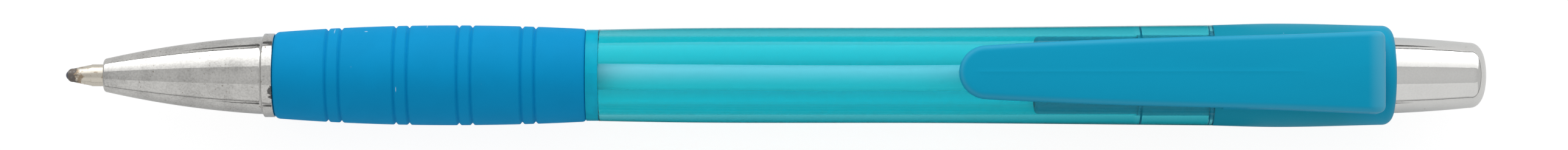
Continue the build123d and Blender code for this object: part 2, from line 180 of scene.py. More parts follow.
@dataclass
class Outline:
    """Half section of a turned piece, as points (station along the pen, radius)."""

    points: list[Point]

    def to(self, *points: Point) -> "Outline":
        """Goes straight to each point in turn and returns the outline."""
        self.points.extend(points)
        return self

    def bow_to(self, end: Point, rise: float, steps: int = ARC_STEPS) -> "Outline":
        """Goes to a point on a round arc.

        Args:
            end: Where the arc ends.
            rise: Height of the arc over its chord, to the left of the way.
            steps: Straight pieces that the arc is drawn with.

        Returns:
            The outline.
        """
        start = Vector(self.points[-1])
        chord = Vector(end) - start
        left = Vector((-chord.y, chord.x)).normalized()
        radius = (chord.length_squared / 4 + rise * rise) / (2 * abs(rise))
        for step in range(1, steps + 1):
            along = (step / steps - 0.5) * chord.length
            height = math.sqrt(radius * radius - along * along) - radius + abs(rise)
            point = start + chord * (step / steps) + left * math.copysign(height, rise)
            self.points.append((point.x, point.y))
        return self

    def through(self, stops: list[Point]) -> "Outline":
        """Goes smoothly through points whose stations grow, the first of them where the outline is.

        Args:
            stops: The points.

        Returns:
            The outline.
        """
        slopes = [(b[1] - a[1]) / (b[0] - a[0]) for a, b in zip(stops, stops[1:])]
        bends = [slopes[0], *((a + b) / 2 for a, b in zip(slopes, slopes[1:])), slopes[-1]]
        for (start, end), bend_in, bend_out in zip(zip(stops, stops[1:]), bends, bends[1:]):
            span = end[0] - start[0]
            for step in range(1, ARC_STEPS + 1):
                t = step / ARC_STEPS
                radius = (
                    (1 + 2 * t) * (1 - t) ** 2 * start[1]
                    + t * (1 - t) ** 2 * span * bend_in
                    + t * t * (3 - 2 * t) * end[1]
                    + t * t * (t - 1) * span * bend_out
                )
                self.points.append((start[0] + t * span, radius))
        return self

    def dome_to(self, end: Point, fullness: float, steps: int) -> "Outline":
        """Goes round a full corner to a point nearer the axis, first along the pen and then across it.

        Args:
            end: Where the corner ends.
            fullness: 2 for an ellipse, and more for a squarer corner.
            steps: Straight pieces that the corner is drawn with.

        Returns:
            The outline.
        """
        station, radius = self.points[-1]
        for step in range(1, steps + 1):
            angle = math.pi / 2 * step / steps
            along = math.sin(angle) ** (2 / fullness)
            across = 1 - math.cos(angle) ** (2 / fullness) if step < steps else 1.0
            self.points.append((station + (end[0] - station) * along, radius + (end[1] - radius) * across))
        return self

    def turned(self, axis: float, rims: Iterable[Rim] = (), closed: bool = True) -> bmesh.types.BMesh:
        """Turns the outline round the pen's axis.

        Args:
            axis: Height of the pen's axis.
            rims: Round edges to soften.
            closed: Whether the last point joins the first, as it doesn't where both lie on the axis.

        Returns:
            The turned solid.
        """
        bm = bmesh.new()
        verts = [bm.verts.new((station, 0.0, axis + radius)) for station, radius in self.points]
        pairs = list(zip(verts, verts[1:]))
        if closed:
            pairs.append((verts[-1], verts[0]))
        edges = [bm.edges.new(pair) for pair in pairs]
        bmesh.ops.spin(
            bm,
            geom=verts + edges,
            cent=(0.0, 0.0, axis),
            axis=ALONG,
            angle=FULL_TURN,
            steps=TURN_STEPS,
            use_merge=True,
        )
        bmesh.ops.remove_doubles(bm, verts=bm.verts, dist=MERGE_DISTANCE)
        bmesh.ops.recalc_face_normals(bm, faces=bm.faces)
        for rim in rims:
            soften_rim(bm, axis, rim)
        return bm


def round_off(
    bm: bmesh.types.BMesh,
    geom: Iterable[bmesh.types.BMEdge | bmesh.types.BMVert],
    radius: float,
    segments: int,
    kind: Rounding = Rounding.EDGES,
) -> None:
    """Rounds edges, or the corners of a card.

    Args:
        bm: The shape.
        geom: Its edges or corners.
        radius: Reach of the rounding.
        segments: Straight pieces that it is drawn with.
        kind: Whether edges or corners are rounded.
    """
    bmesh.ops.bevel(
        bm,
        geom=list(geom),
        offset=radius,
        offset_type="OFFSET",
        segments=segments,
        profile=0.5,
        affect=kind.value,
        material=-1,
    )


def soften_rim(bm: bmesh.types.BMesh, axis: float, rim: Rim) -> None:
    """Rounds one round edge of a turned solid.

    Args:
        bm: The solid.
        axis: Height of the pen's axis.
        rim: The edge and its rounding.
    """

    def on_rim(vert: bmesh.types.BMVert) -> bool:
        """Whether a vertex lies on the rim."""
        radius = math.hypot(vert.co.y, vert.co.z - axis)
        return abs(vert.co.x - rim.station) < RIM_TOLERANCE and abs(radius - rim.radius) < RIM_TOLERANCE

    edges = [edge for edge in bm.edges if all(on_rim(vert) for vert in edge.verts)]
    round_off(bm, edges, rim.rounding, rim.segments)


def finished(name: str, bm: bmesh.types.BMesh, material: bpy.types.Material) -> bpy.types.Object:
    """Makes an object of a modelled shape, smooth apart from its sharp edges.

    Args:
        name: Name of the piece.
        bm: Its shape, which is freed.
        material: Its finish.

    Returns:
        The object, at the origin.
    """
    mesh = bpy.data.meshes.new(name)
    bm.to_mesh(mesh)
    bm.free()
    mesh.shade_smooth()
    mesh.set_sharp_from_angle(angle=SHARP_ANGLE)
    mesh.materials.append(material)
    piece = bpy.data.objects.new(name, mesh)
    bpy.context.scene.collection.objects.link(piece)
    return piece


def seat(piece: bpy.types.Object, body: Body, slot: str, *nodes: str) -> None:
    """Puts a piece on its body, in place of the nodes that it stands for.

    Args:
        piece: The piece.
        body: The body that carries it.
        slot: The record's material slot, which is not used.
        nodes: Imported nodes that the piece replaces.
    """
    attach(piece, body.value)
    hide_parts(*nodes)
    LOG.info("%s rides on %s, %d faces", piece.name, body.value, len(piece.data.polygons))


def dress_node(name: str, material: bpy.types.Material) -> None:
    """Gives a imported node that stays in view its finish.

    Args:
        name: The node.
        material: Its finish.
    """
    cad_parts[name].material_slots[0].material = material
    LOG.info("%s keeps its packed shape", name)


@dataclass(frozen=True)
class Cloud:
    """Cloudy pattern of a material.

    Attributes:
        size: Size of its clouds, in metres.
        detail: Octaves of finer detail.
        stretch: How much finer it is along each axis.
    """

    size: float
    detail: float
    stretch: Triple | None = None


@dataclass(frozen=True)
class Scatter:
    """Scattered specks of a material, which are dashes where they are stretched.

    Attributes:
        spacing: Mean distance between two cells, in metres.
        size: Radius of a speck, as a share of the spacing.
        share: Share of the cells that hold one.
        stretch: How much shorter a speck is along each axis.
        turn: Turn of the pattern about the upright axis, in radians.
        stray: How ragged a speck is, as a share of the spacing.
        core: Share of a speck's radius that is full, with a soft edge round it.
        flat: Whether the pattern is laid on from above, the same at every height.
    """

    spacing: float
    size: float
    share: float = 1.0
    stretch: Triple | None = None
    turn: float = 0.0
    stray: float = 0.0
    core: float = 0.6
    flat: bool = False


class Graph:
    """Adds and links the nodes of one material."""

    def __init__(self, name: str) -> None:
        """Starts an empty material.

        Args:
            name: Its name.
        """
        self.material = bpy.data.materials.new(name)
        self.material.use_nodes = True
        self.tree = self.material.node_tree
        self.tree.nodes.clear()
        self.output = self.tree.nodes.new("ShaderNodeOutputMaterial")
        self.place = self.node("TexCoord").outputs["Object"]

    def node(self, kind: str, inputs: dict | None = None, **settings: object) -> bpy.types.Node:
        """Adds a node.

        Args:
            kind: The node's type, without its ShaderNode.
            inputs: Values or sockets for its inputs, by name or number.
            settings: Its other properties.

        Returns:
            The node.
        """
        made = self.tree.nodes.new(f"ShaderNode{kind}")
        for key, value in settings.items():
            setattr(made, key, value)
        for key, value in (inputs or {}).items():
            self.feed(made.inputs[key], value)
        return made

    def feed(self, socket: Socket, value: object) -> None:
        """Links an input to a socket, or sets it to a value.

        Args:
            socket: The input.
            value: The socket or the value.
        """
        if isinstance(value, bpy.types.NodeSocket):
            self.tree.links.new(value, socket)
        else:
            socket.default_value = value

    def noise(self, cloud: Cloud) -> Socket:
        """Adds a cloudy pattern.

        Args:
            cloud: Its size and detail.

        Returns:
            Its values, from 0 to 1.
        """
        place = self.place
        if cloud.stretch is not None:
            place = self.node("Mapping", {"Vector": place, "Scale": cloud.stretch}).outputs[0]
        inputs = {"Vector": place, "Scale": 1 / cloud.size, "Detail": cloud.detail}
        return self.node("TexNoise", inputs).outputs[0]

    def ramp(self, value: Socket, span: Span) -> Socket:
        """Maps a value smoothly to 0 at the span's start and 1 at its end, which may be the lower."""
        inputs = {"Value": value, "From Min": span[0], "From Max": span[1]}
        return self.node("MapRange", inputs, interpolation_type="SMOOTHSTEP").outputs[0]

    def calc(self, operation: str, *values: object) -> Socket:
        """Works out the named operation over its values."""
        return self.node("Math", dict(enumerate(values)), operation=operation).outputs[0]

    def times(self, value: Socket, share: object) -> Socket:
        """Takes a share of a value."""
        return self.calc("MULTIPLY", value, share)

    def plus(self, base: object, value: Socket, share: float) -> Socket:
        """Adds a share of a value to a base."""
        return self.calc("MULTIPLY_ADD", value, share, base)

    def most(self, *values: Socket) -> Socket:
        """Takes the largest of the values."""
        return reduce(lambda left, right: self.calc("MAXIMUM", left, right), values)

    def mix(self, share: object, base: object, over: object) -> Socket:
        """Lays one colour over another.

        Args:
            share: How much of the upper colour shows.
            base: The lower colour.
            over: The upper colour.

        Returns:
            The mixed colour.
        """
        inputs = {MIX_SHARE: share, MIX_BASE: base, MIX_OVER: over}
        return self.node("Mix", inputs, data_type="RGBA").outputs[MIX_RESULT]

    def specks(self, scatter: Scatter) -> Socket:
        """Adds scattered specks.

        Args:
            scatter: Their size and spread.

        Returns:
            Their mask, 1 inside a speck.
        """
        place = self.place
        if scatter.stretch is not None:
            inputs = {"Vector": place, "Scale": scatter.stretch, "Rotation": (0.0, 0.0, scatter.turn)}
            place = self.node("Mapping", inputs).outputs[0]
        if scatter.stray:
            place = self.strayed(place, scatter)
        cells = self.node(
            "TexVoronoi",
            {"Vector": place, "Scale": 1 / scatter.spacing},
            voronoi_dimensions="2D" if scatter.flat else "3D",
        )
        inside = self.ramp(cells.outputs["Distance"], (scatter.size, scatter.size * scatter.core))
        chosen = self.node("SeparateColor", {0: cells.outputs["Color"]}).outputs[0]
        return self.times(inside, self.calc("LESS_THAN", chosen, scatter.share))

    def strayed(self, place: Socket, scatter: Scatter) -> Socket:
        """Moves each place a little, so that the specks there come out ragged.

        Args:
            place: The places.
            scatter: The specks.

        Returns:
            The moved places.
        """
        inputs = {"Vector": place, "Scale": STRAY_FINENESS / scatter.spacing, "Detail": STRAY_DETAIL}
        drift = self.node("TexNoise", inputs).outputs["Color"]
        reach = (scatter.stray * scatter.spacing,) * 3
        return self.node("VectorMath", {0: drift, 1: reach, 2: place}, operation="MULTIPLY_ADD").outputs[0]

    def axis_part(self, index: int) -> Socket:
        """Takes one coordinate of the place on the piece: 0 along the pen, 1 across, 2 up."""
        return self.node("SeparateXYZ", {0: self.place}).outputs[index]

    def near(self, centre: Vector, reach: Span) -> Socket:
        """Makes a mask round a point, from 0 at the reach's outer distance to 1 at its inner one."""
        gap = self.node("VectorMath", {0: self.place, 1: centre}, operation="DISTANCE").outputs["Value"]
        return self.ramp(gap, reach)

    def painted(self, layer: str) -> Socket:
        """Reads a layer of values that the piece's vertices hold."""
        return self.node("Attribute", attribute_name=layer).outputs["Fac"]

    def bump(self, height: Socket, depth: float) -> Socket:
        """Turns a height pattern into a normal, at a depth in metres."""
        return self.node("Bump", {"Height": height, "Distance": depth, "Strength": 1.0}).outputs[0]

    def surface(self, inputs: dict) -> bpy.types.Material:
        """Closes the material with one principled shader.

        Args:
            inputs: Values or sockets for the shader.

        Returns:
            The material.
        """
        shader = self.node("BsdfPrincipled", inputs)
        self.feed(self.output.inputs["Surface"], shader.outputs[0])
        return self.material


def shaded(colour: Colour, share: float) -> Colour:
    """A colour with its light cut to a share."""
    red, green, blue, alpha = colour
    return (red * share, green * share, blue * share, alpha)


@dataclass(frozen=True)
class ChromeFinish:
    """Bright plating with a fine grain, dark pits, dull stains and, on the nose, a chip at the ring."""

    name: str
    colour: Colour
    pit_colour: Colour
    roughness: float
    pit_share: float
    grain: float
    chips: tuple[Vector, ...] = ()
    chip_colour: Colour = (0.02, 0.02, 0.022, 1.0)
    chip_reach: Span = (0.66 * MM, 0.05 * MM)
    chip_edge: Cloud = Cloud(0.28 * MM, 2.0)
    chip_level: Span = (1.08, 1.2)
    chip_holes: Cloud = Cloud(0.3 * MM, 3.0)
    chip_hole_level: Span = (0.38, 0.5)
    chip_strength: float = 0.8
    bloom: Cloud = Cloud(2.2 * MM, 4.0)
    speckle: Cloud = Cloud(0.2 * MM, 5.0)
    ripple: Cloud = Cloud(0.5 * MM, 2.0)
    ripple_depth: float = 0.002 * MM
    stain: float = 0.7
    fine_pits: Scatter = Scatter(0.28 * MM, 0.28, stray=0.7, core=0.1)
    pits: Scatter = Scatter(0.6 * MM, 0.2, stray=0.6, core=0.1)
    blots: Scatter = Scatter(1.9 * MM, 0.14, stray=0.4, core=0.0)
    pit_strength: float = 0.8
    pit_roughness: float = 0.3

    def build(self) -> bpy.types.Material:
        """Makes the material.

        Returns:
            The material.
        """
        graph = Graph(self.name)
        bloom = graph.noise(self.bloom)
        fine, pits, blots = (
            graph.specks(replace(scatter, share=self.pit_share))
            for scatter in (self.fine_pits, self.pits, self.blots)
        )
        wear = graph.most(pits, graph.times(graph.most(fine, blots), graph.ramp(bloom, PATCHY)))
        dull = graph.ramp(bloom, FADED)
        mottle = graph.calc("ADD", dull, graph.ramp(graph.noise(self.speckle), FADED))
        colour = graph.mix(graph.times(mottle, self.grain), self.colour, shaded(self.colour, self.stain))
        colour = graph.mix(graph.times(wear, self.pit_strength), colour, self.pit_colour)
        if self.chips:
            bare = self.bare(graph)
            colour = graph.mix(graph.times(bare, self.chip_strength), colour, self.chip_colour)
            wear = graph.most(wear, bare)
        rough = graph.plus(self.roughness, dull, self.roughness)
        height = graph.calc("SUBTRACT", graph.noise(self.ripple), wear)
        return graph.surface(
            {
                "Base Color": colour,
                "Metallic": 1.0,
                "Roughness": graph.plus(rough, wear, self.pit_roughness),
                "Normal": graph.bump(height, self.ripple_depth),
            }
        )

    def bare(self, graph: Graph) -> Socket:
        """Makes a mask of the ragged places where the plating is chipped off.

        Args:
            graph: The material.

        Returns:
            The mask.
        """
        edge = graph.noise(self.chip_edge)
        near = (graph.calc("ADD", graph.near(chip, self.chip_reach), edge) for chip in self.chips)
        whole = graph.most(*(graph.ramp(ragged, self.chip_level) for ragged in near))
        return graph.times(whole, graph.ramp(graph.noise(self.chip_holes), self.chip_hole_level))


@dataclass(frozen=True)
class RubberFinish:
    """Matte blue rubber with a fine skin, pale dust and a few scuffs."""

    name: str
    colour: Colour
    shade_colour: Colour
    dust_colour: Colour
    cloud: Cloud = Cloud(3.5 * MM, 4.0)
    cloud_share: float = 0.5
    skin: Cloud = Cloud(0.09 * MM, 2.0)
    skin_depth: float = 0.006 * MM
    skin_roughness: float = 0.12
    dust: Scatter = Scatter(1.9 * MM, 0.032, 0.3)
    nicks: Scatter = Scatter(2.6 * MM, 0.022, 0.3, (0.28, 1.0, 1.0), turn=0.4, flat=True)
    scratches: Scatter = Scatter(2.2 * MM, 0.022, 0.4, (1.0, 0.16, 1.0), turn=0.25, flat=True)
    mark_strength: float = 0.7
    roughness: float = 0.55
    gloss: float = 0.08

    def build(self) -> bpy.types.Material:
        """Makes the material.

        Returns:
            The material.
        """
        graph = Graph(self.name)
        cloud = graph.ramp(graph.noise(self.cloud), SOFT)
        skin = graph.noise(self.skin)
        marks = graph.most(*(graph.specks(scatter) for scatter in (self.dust, self.nicks, self.scratches)))
        base = graph.mix(graph.times(cloud, self.cloud_share), self.colour, self.shade_colour)
        return graph.surface(
            {
                "Base Color": graph.mix(graph.times(marks, self.mark_strength), base, self.dust_colour),
                "Roughness": graph.plus(self.roughness, skin, self.skin_roughness),
                "Specular IOR Level": self.gloss,
                "Normal": graph.bump(skin, self.skin_depth),
            }
        )


@dataclass(frozen=True)
class TintedFinish:
    """Glossy see-through plastic, tinted in its depth, with painted shade that makes its base colour deeper
    below the axis than above, and a handled bloom.
    """

    name: str
    lit_upper_colour: Colour
    shaded_lower_colour: Colour
    tint: Colour
    gloss_tint: Colour
    density: float
    roughness: float
    middle: float
    blend: float
    refraction: float = 1.42
    bloom: Cloud = Cloud(2.5 * MM, 4.0)
    bloom_level: Span = (0.4, 0.75)
    dust: Scatter = Scatter(2.3 * MM, 0.03, 0.25)
    dust_roughness: float = 0.3

    def build(self) -> bpy.types.Material:
        """Makes the material.

        Returns:
            The material.
        """
        graph = Graph(self.name)
        bloom = graph.ramp(graph.noise(self.bloom), self.bloom_level)
        # Painted light and shade: the base colour goes from a pale lit colour above the axis to a deeper cyan
        # below it.
        above = graph.ramp(graph.axis_part(2), (self.middle - self.blend, self.middle + self.blend))
        rough = graph.plus(self.roughness, bloom, self.roughness)
        material = graph.surface(
            {
                "Base Color": graph.mix(above, self.shaded_lower_colour, self.lit_upper_colour),
                "Roughness": graph.plus(rough, graph.specks(self.dust), self.dust_roughness),
                "IOR": self.refraction,
                "Specular Tint": self.gloss_tint,
                "Transmission Weight": 1.0,
            }
        )
        depth = graph.node("VolumeAbsorption", {"Color": self.tint, "Density": self.density})
        graph.feed(graph.output.inputs["Volume"], depth.outputs[0])
        return material


@dataclass(frozen=True)
class CloudyFinish:
    """Satin plastic that lets light in but shows nothing behind it."""

    name: str
    colour: Colour
    shade_colour: Colour
    gloss_tint: Colour
    roughness: float
    clearness: float
    gloss: float = 0.05
    cloud: Cloud = Cloud(1.4 * MM, 3.0)
    cloud_roughness: float = 0.1
    skin: Cloud = Cloud(0.15 * MM, 2.0)
    skin_depth: float = 0.003 * MM

    def build(self) -> bpy.types.Material:
        """Makes the material.

        Returns:
            The material.
        """
        graph = Graph(self.name)
        cloud = graph.ramp(graph.noise(self.cloud), SOFT)
        return graph.surface(
            {
                "Base Color": graph.mix(cloud, self.colour, self.shade_colour),
                "Roughness": graph.plus(self.roughness, cloud, self.cloud_roughness),
                "Specular IOR Level": self.gloss,
                "Specular Tint": self.gloss_tint,
                "Transmission Weight": self.clearness,
                "Normal": graph.bump(graph.noise(self.skin), self.skin_depth),
            }
        )


@dataclass(frozen=True)
class MouldedFinish:
    """Opaque satin plastic, with the flow marks and specks of a moulding, edges that are pale from wear and
    painted highlight, and painted shade.
    """

    name: str
    colour: Colour
    shade_colour: Colour
    speck_colour: Colour
    worn_and_highlight_colour: Colour
    painted_shade_colour: Colour
    roughness: float
    gloss: float = 0.12
    flow: Cloud = Cloud(2.8 * MM, 3.0, (0.25, 1.0, 1.0))
    flow_share: float = 0.5
    skin: Cloud = Cloud(0.12 * MM, 2.0)
    skin_depth: float = 0.004 * MM
    skin_roughness: float = 0.1
    specks: Scatter = Scatter(3.0 * MM, 0.02, 0.4)
    speck_strength: float = 0.6

    def build(self) -> bpy.types.Material:
        """Makes the material.

        Returns:
            The material.
        """
        graph = Graph(self.name)
        flow = graph.ramp(graph.noise(self.flow), SOFT)
        skin = graph.noise(self.skin)
        specks = graph.times(graph.specks(self.specks), self.speck_strength)
        base = graph.mix(graph.times(flow, self.flow_share), self.colour, self.shade_colour)
        # Pale colour: wear and painted highlight on the clip's rounded edges, painted highlight along its
        # rear end.
        base = graph.mix(graph.painted(WORN_AND_HIGHLIGHT_LAYER), base, self.worn_and_highlight_colour)
        # Painted shade: a deeper colour read from a vertex layer, full on the sleeve inside the barrel.
        base = graph.mix(graph.painted(PAINTED_SHADE_LAYER), base, self.painted_shade_colour)
        return graph.surface(
            {
                "Base Color": graph.mix(specks, base, self.speck_colour),
                "Roughness": graph.plus(self.roughness, skin, self.skin_roughness),
                "Specular IOR Level": self.gloss,
                "Normal": graph.bump(skin, self.skin_depth),
            }
        )


@dataclass(frozen=True)
class NibFinish:
    """Turned nickel alloy, with brown stains and dried ink that close up towards the ball."""

    name: str
    colour: Colour
    stain_colour: Colour
    ink_colour: Colour
    tip: float
    stain_reach: float
    stains: Cloud = Cloud(0.42 * MM, 4.0)
    stain_gain: float = 0.3
    stain_level: Span = (0.6, 0.76)
    spots: Scatter = Scatter(0.3 * MM, 0.28, 0.3)
    dirt_strength: float = 0.75
    dirt_roughness: float = 0.25
    ink: Cloud = Cloud(0.5 * MM, 2.0)
    ink_level: Span = (1.22, 1.36)
    ink_strength: float = 0.8
    ink_dulling: float = 0.6
    grooves: Cloud = Cloud(0.05 * MM, 1.0, (1.0, 0.02, 0.02))
    groove_depth: float = 0.003 * MM
    roughness: float = 0.24

    def build(self) -> bpy.types.Material:
        """Makes the material.

        Returns:
            The material.
        """
        graph = Graph(self.name)
        closeness = graph.ramp(graph.axis_part(0), (self.tip + self.stain_reach, self.tip))
        stain = graph.ramp(graph.plus(graph.noise(self.stains), closeness, self.stain_gain), self.stain_level)
        wet = graph.ramp(graph.calc("ADD", graph.noise(self.ink), closeness), self.ink_level)
        dirt = graph.most(stain, graph.times(graph.specks(self.spots), closeness))
        worn = graph.mix(graph.times(dirt, self.dirt_strength), self.colour, self.stain_colour)
        return graph.surface(
            {
                "Base Color": graph.mix(graph.times(wet, self.ink_strength), worn, self.ink_colour),
                "Metallic": graph.plus(1.0, wet, -self.ink_dulling),
                "Roughness": graph.plus(self.roughness, dirt, self.dirt_roughness),
                "Normal": graph.bump(graph.noise(self.grooves), self.groove_depth),
            }
        )


@dataclass(frozen=True)
class MilkyFinish:
    """Milky plastic with painted light and shade: its lit colour on the +Y side, turning to a painted shade
    in the barrel's tint on the -Y side.
    """

    name: str
    colour: Colour
    shaded_side_colour: Colour
    roughness: float
    lit: Span
    cloud: Cloud = Cloud(1.5 * MM, 3.0, (0.2, 1.0, 1.0))
    cloud_roughness: float = 0.08
    waver: float = 0.2 * MM

    def build(self) -> bpy.types.Material:
        """Makes the material.

        Returns:
            The material.
        """
        graph = Graph(self.name)
        cloud = graph.noise(self.cloud)
        # Painted light and shade: the colour goes from the painted shade at -Y to the lit colour at +Y.
        lit = graph.ramp(graph.plus(graph.axis_part(1), cloud, self.waver), self.lit)
        return graph.surface(
            {
                "Base Color": graph.mix(lit, self.shaded_side_colour, self.colour),
                "Roughness": graph.plus(self.roughness, cloud, self.cloud_roughness),
            }
        )


@dataclass(frozen=True)
class PlainFinish:
    """Inner piece of plastic, ink or wire, with a little uneven colour."""

    name: str
    colour: Colour
    shade_colour: Colour
    roughness: float
    metallic: float = 0.0
    cloud: Cloud = Cloud(1.5 * MM, 3.0)
    cloud_roughness: float = 0.08
    skin: Cloud = Cloud(0.2 * MM, 2.0)
    skin_depth: float = 0.003 * MM

    def build(self) -> bpy.types.Material:
        """Makes the material.

        Returns:
            The material.
        """
        graph = Graph(self.name)
        cloud = graph.ramp(graph.noise(self.cloud), FADED)
        return graph.surface(
            {
                "Base Color": graph.mix(cloud, self.colour, self.shade_colour),
                "Metallic": self.metallic,
                "Roughness": graph.plus(self.roughness, cloud, self.cloud_roughness),
                "Normal": graph.bump(graph.noise(self.skin), self.skin_depth),
            }
        )


@dataclass
class NoseCone:
    """Chromed nose: an ogive that runs through a small cove into a raised ring, with a spigot behind."""

    at: Stations
    tip_radius: float = 1.68 * MM
    base_radius: float = 3.985 * MM
    bulge: float = 0.33 * MM
    ring_radius: float = 4.3 * MM
    ring_width: float = 1.1 * MM
    ring_rounding: float = 0.1 * MM
    cove_length: float = 0.4 * MM
    cove_rise: float = 0.08 * MM
    cove_margin: float = 0.12 * MM
    cove_steps: int = 8
    tip_rounding: float = 0.22 * MM
    hole_radius: float = 1.33 * MM
    hole_rounding: float = 0.08 * MM
    guide_radius: float = 1.535 * MM
    guide_length: float = 3.0 * MM
    seat_depth: float = 9.1 * MM
    spring_bore: float = 2.135 * MM
    spigot_radius: float = 3.25 * MM
    chips_across: tuple[float, ...] = (-1.65 * MM, -2.0 * MM, -2.35 * MM)
    chip_setback: float = 0.12 * MM

    def build(self) -> None:
        """Models the nose and seats it on the barrel."""
        at = self.at
        ring = at.grip - self.ring_width
        outline = Outline([(at.nose, self.hole_radius), (at.nose, self.tip_radius)])
        outline.bow_to((ring - self.cove_length, self.base_radius), self.bulge, 2 * ARC_STEPS)
        outline.bow_to((ring, self.ring_radius - self.cove_margin), -self.cove_rise, self.cove_steps)
        outline.to(
            (ring, self.ring_radius),
            (at.grip, self.ring_radius),
            (at.grip, self.spigot_radius),
            (at.nose_end, self.spigot_radius),
            (at.nose_end, self.spring_bore),
            (at.nose + self.seat_depth, self.spring_bore),
            (at.nose + self.seat_depth, self.guide_radius),
            (at.nose + self.guide_length, self.guide_radius),
            (at.nose + self.guide_length, self.hole_radius),
        )
        rims = [
            Rim(at.nose, self.tip_radius, self.tip_rounding, segments=5),
            Rim(at.nose, self.hole_radius, self.hole_rounding, segments=2),
            Rim(ring, self.ring_radius, self.ring_rounding, segments=3),
            Rim(at.grip, self.ring_radius, self.ring_rounding, segments=3),
        ]
        finish = ChromeFinish(
            "worn_chrome",
            colour=(0.735, 0.725, 0.7, 1.0),
            pit_colour=(0.2, 0.16, 0.12, 1.0),
            roughness=0.05,
            pit_share=0.55,
            grain=0.55,
            chips=tuple(self.on_ring(across) for across in self.chips_across),
        )
        piece = finished("nose", outline.turned(at.axis, rims), finish.build())
        seat(piece, Body.BARREL, "chrome_nose", "nose_cone")

    def on_ring(self, across: float) -> Vector:
        """Place on the top of the ring, close to its rear edge."""
        height = math.sqrt(self.ring_radius**2 - across**2)
        return Vector((self.at.grip - self.chip_setback, across, self.at.axis + height))


@dataclass
class Grip:
    """Rubber sleeve with a belly and pairs of fine grooves."""

    at: Stations
    front_radius: float = 4.43 * MM
    belly_radius: float = 5.14 * MM
    rear_radius: float = 4.77 * MM
    belly_offset: float = 18.0 * MM
    inner_radius: float = 3.83 * MM
    front_rounding: float = 0.5 * MM
    rear_rounding: float = 0.4 * MM
    groove_width: float = 0.44 * MM
    groove_depth: float = 0.26 * MM
    groove_rounding: float = 0.07 * MM
    pair_spacing: float = 1.38 * MM
    pair_offsets: tuple[float, ...] = (6.15 * MM, 13.1 * MM, 19.58 * MM, 26.06 * MM)
    band_steps: int = 8

    def radius(self, station: float) -> float:
        """Works out the outside, an arc before the belly and another behind it.

        Args:
            station: Where along the pen.

        Returns:
            The outer radius there.
        """
        belly = self.at.grip + self.belly_offset
        if station < belly:
            end, end_radius = self.at.grip, self.front_radius
        else:
            end, end_radius = self.at.flange, self.rear_radius
        fall = self.belly_radius - end_radius
        arc = ((end - belly) ** 2 + fall**2) / (2 * fall)
        return self.belly_radius - arc + math.sqrt(arc**2 - (station - belly) ** 2)

    def grooves(self) -> list[float]:
        """Stations of the grooves' bottoms, from the front."""
        half = self.pair_spacing / 2
        return [self.at.grip + offset + side for offset in self.pair_offsets for side in (-half, half)]

    def build(self) -> None:
        """Models the sleeve and seats it on the barrel."""
        at = self.at
        outline = Outline([(at.grip, self.inner_radius), (at.grip, self.front_radius)])
        rims = [
            Rim(at.grip, self.front_radius, self.front_rounding, segments=6),
            Rim(at.flange, self.rear_radius, self.rear_rounding, segments=5),
        ]
        half = self.groove_width / 2
        for bottom in self.grooves():
            front, rear = ((edge, self.radius(edge)) for edge in (bottom - half, bottom + half))
            deepest = (bottom, self.radius(bottom) - self.groove_depth)
            self.follow(outline, front[0])
            outline.to(deepest, rear)
            rims += [Rim(*corner, self.groove_rounding, segments=2) for corner in (front, rear, deepest)]
        self.follow(outline, at.flange)
        outline.to((at.flange, self.inner_radius))
        finish = RubberFinish(
            "blue_rubber",
            colour=(0.0, 0.29, 0.6, 1.0),
            shade_colour=(0.0, 0.27, 0.56, 1.0),
            dust_colour=(0.45, 0.65, 0.8, 1.0),
        )
        piece = finished("grip", outline.turned(at.axis, rims), finish.build())
        seat(piece, Body.BARREL, "grip_rubber", "grip_sleeve")

    def follow(self, outline: Outline, end: float) -> None:
        """Draws the sleeve's outside from where the outline is.

        Args:
            outline: The sleeve's outline.
            end: Station to draw it to.
        """
        start = outline.points[-1][0]
        for step in range(1, self.band_steps + 1):
            station = start + (end - start) * step / self.band_steps
            outline.to((station, self.radius(station)))


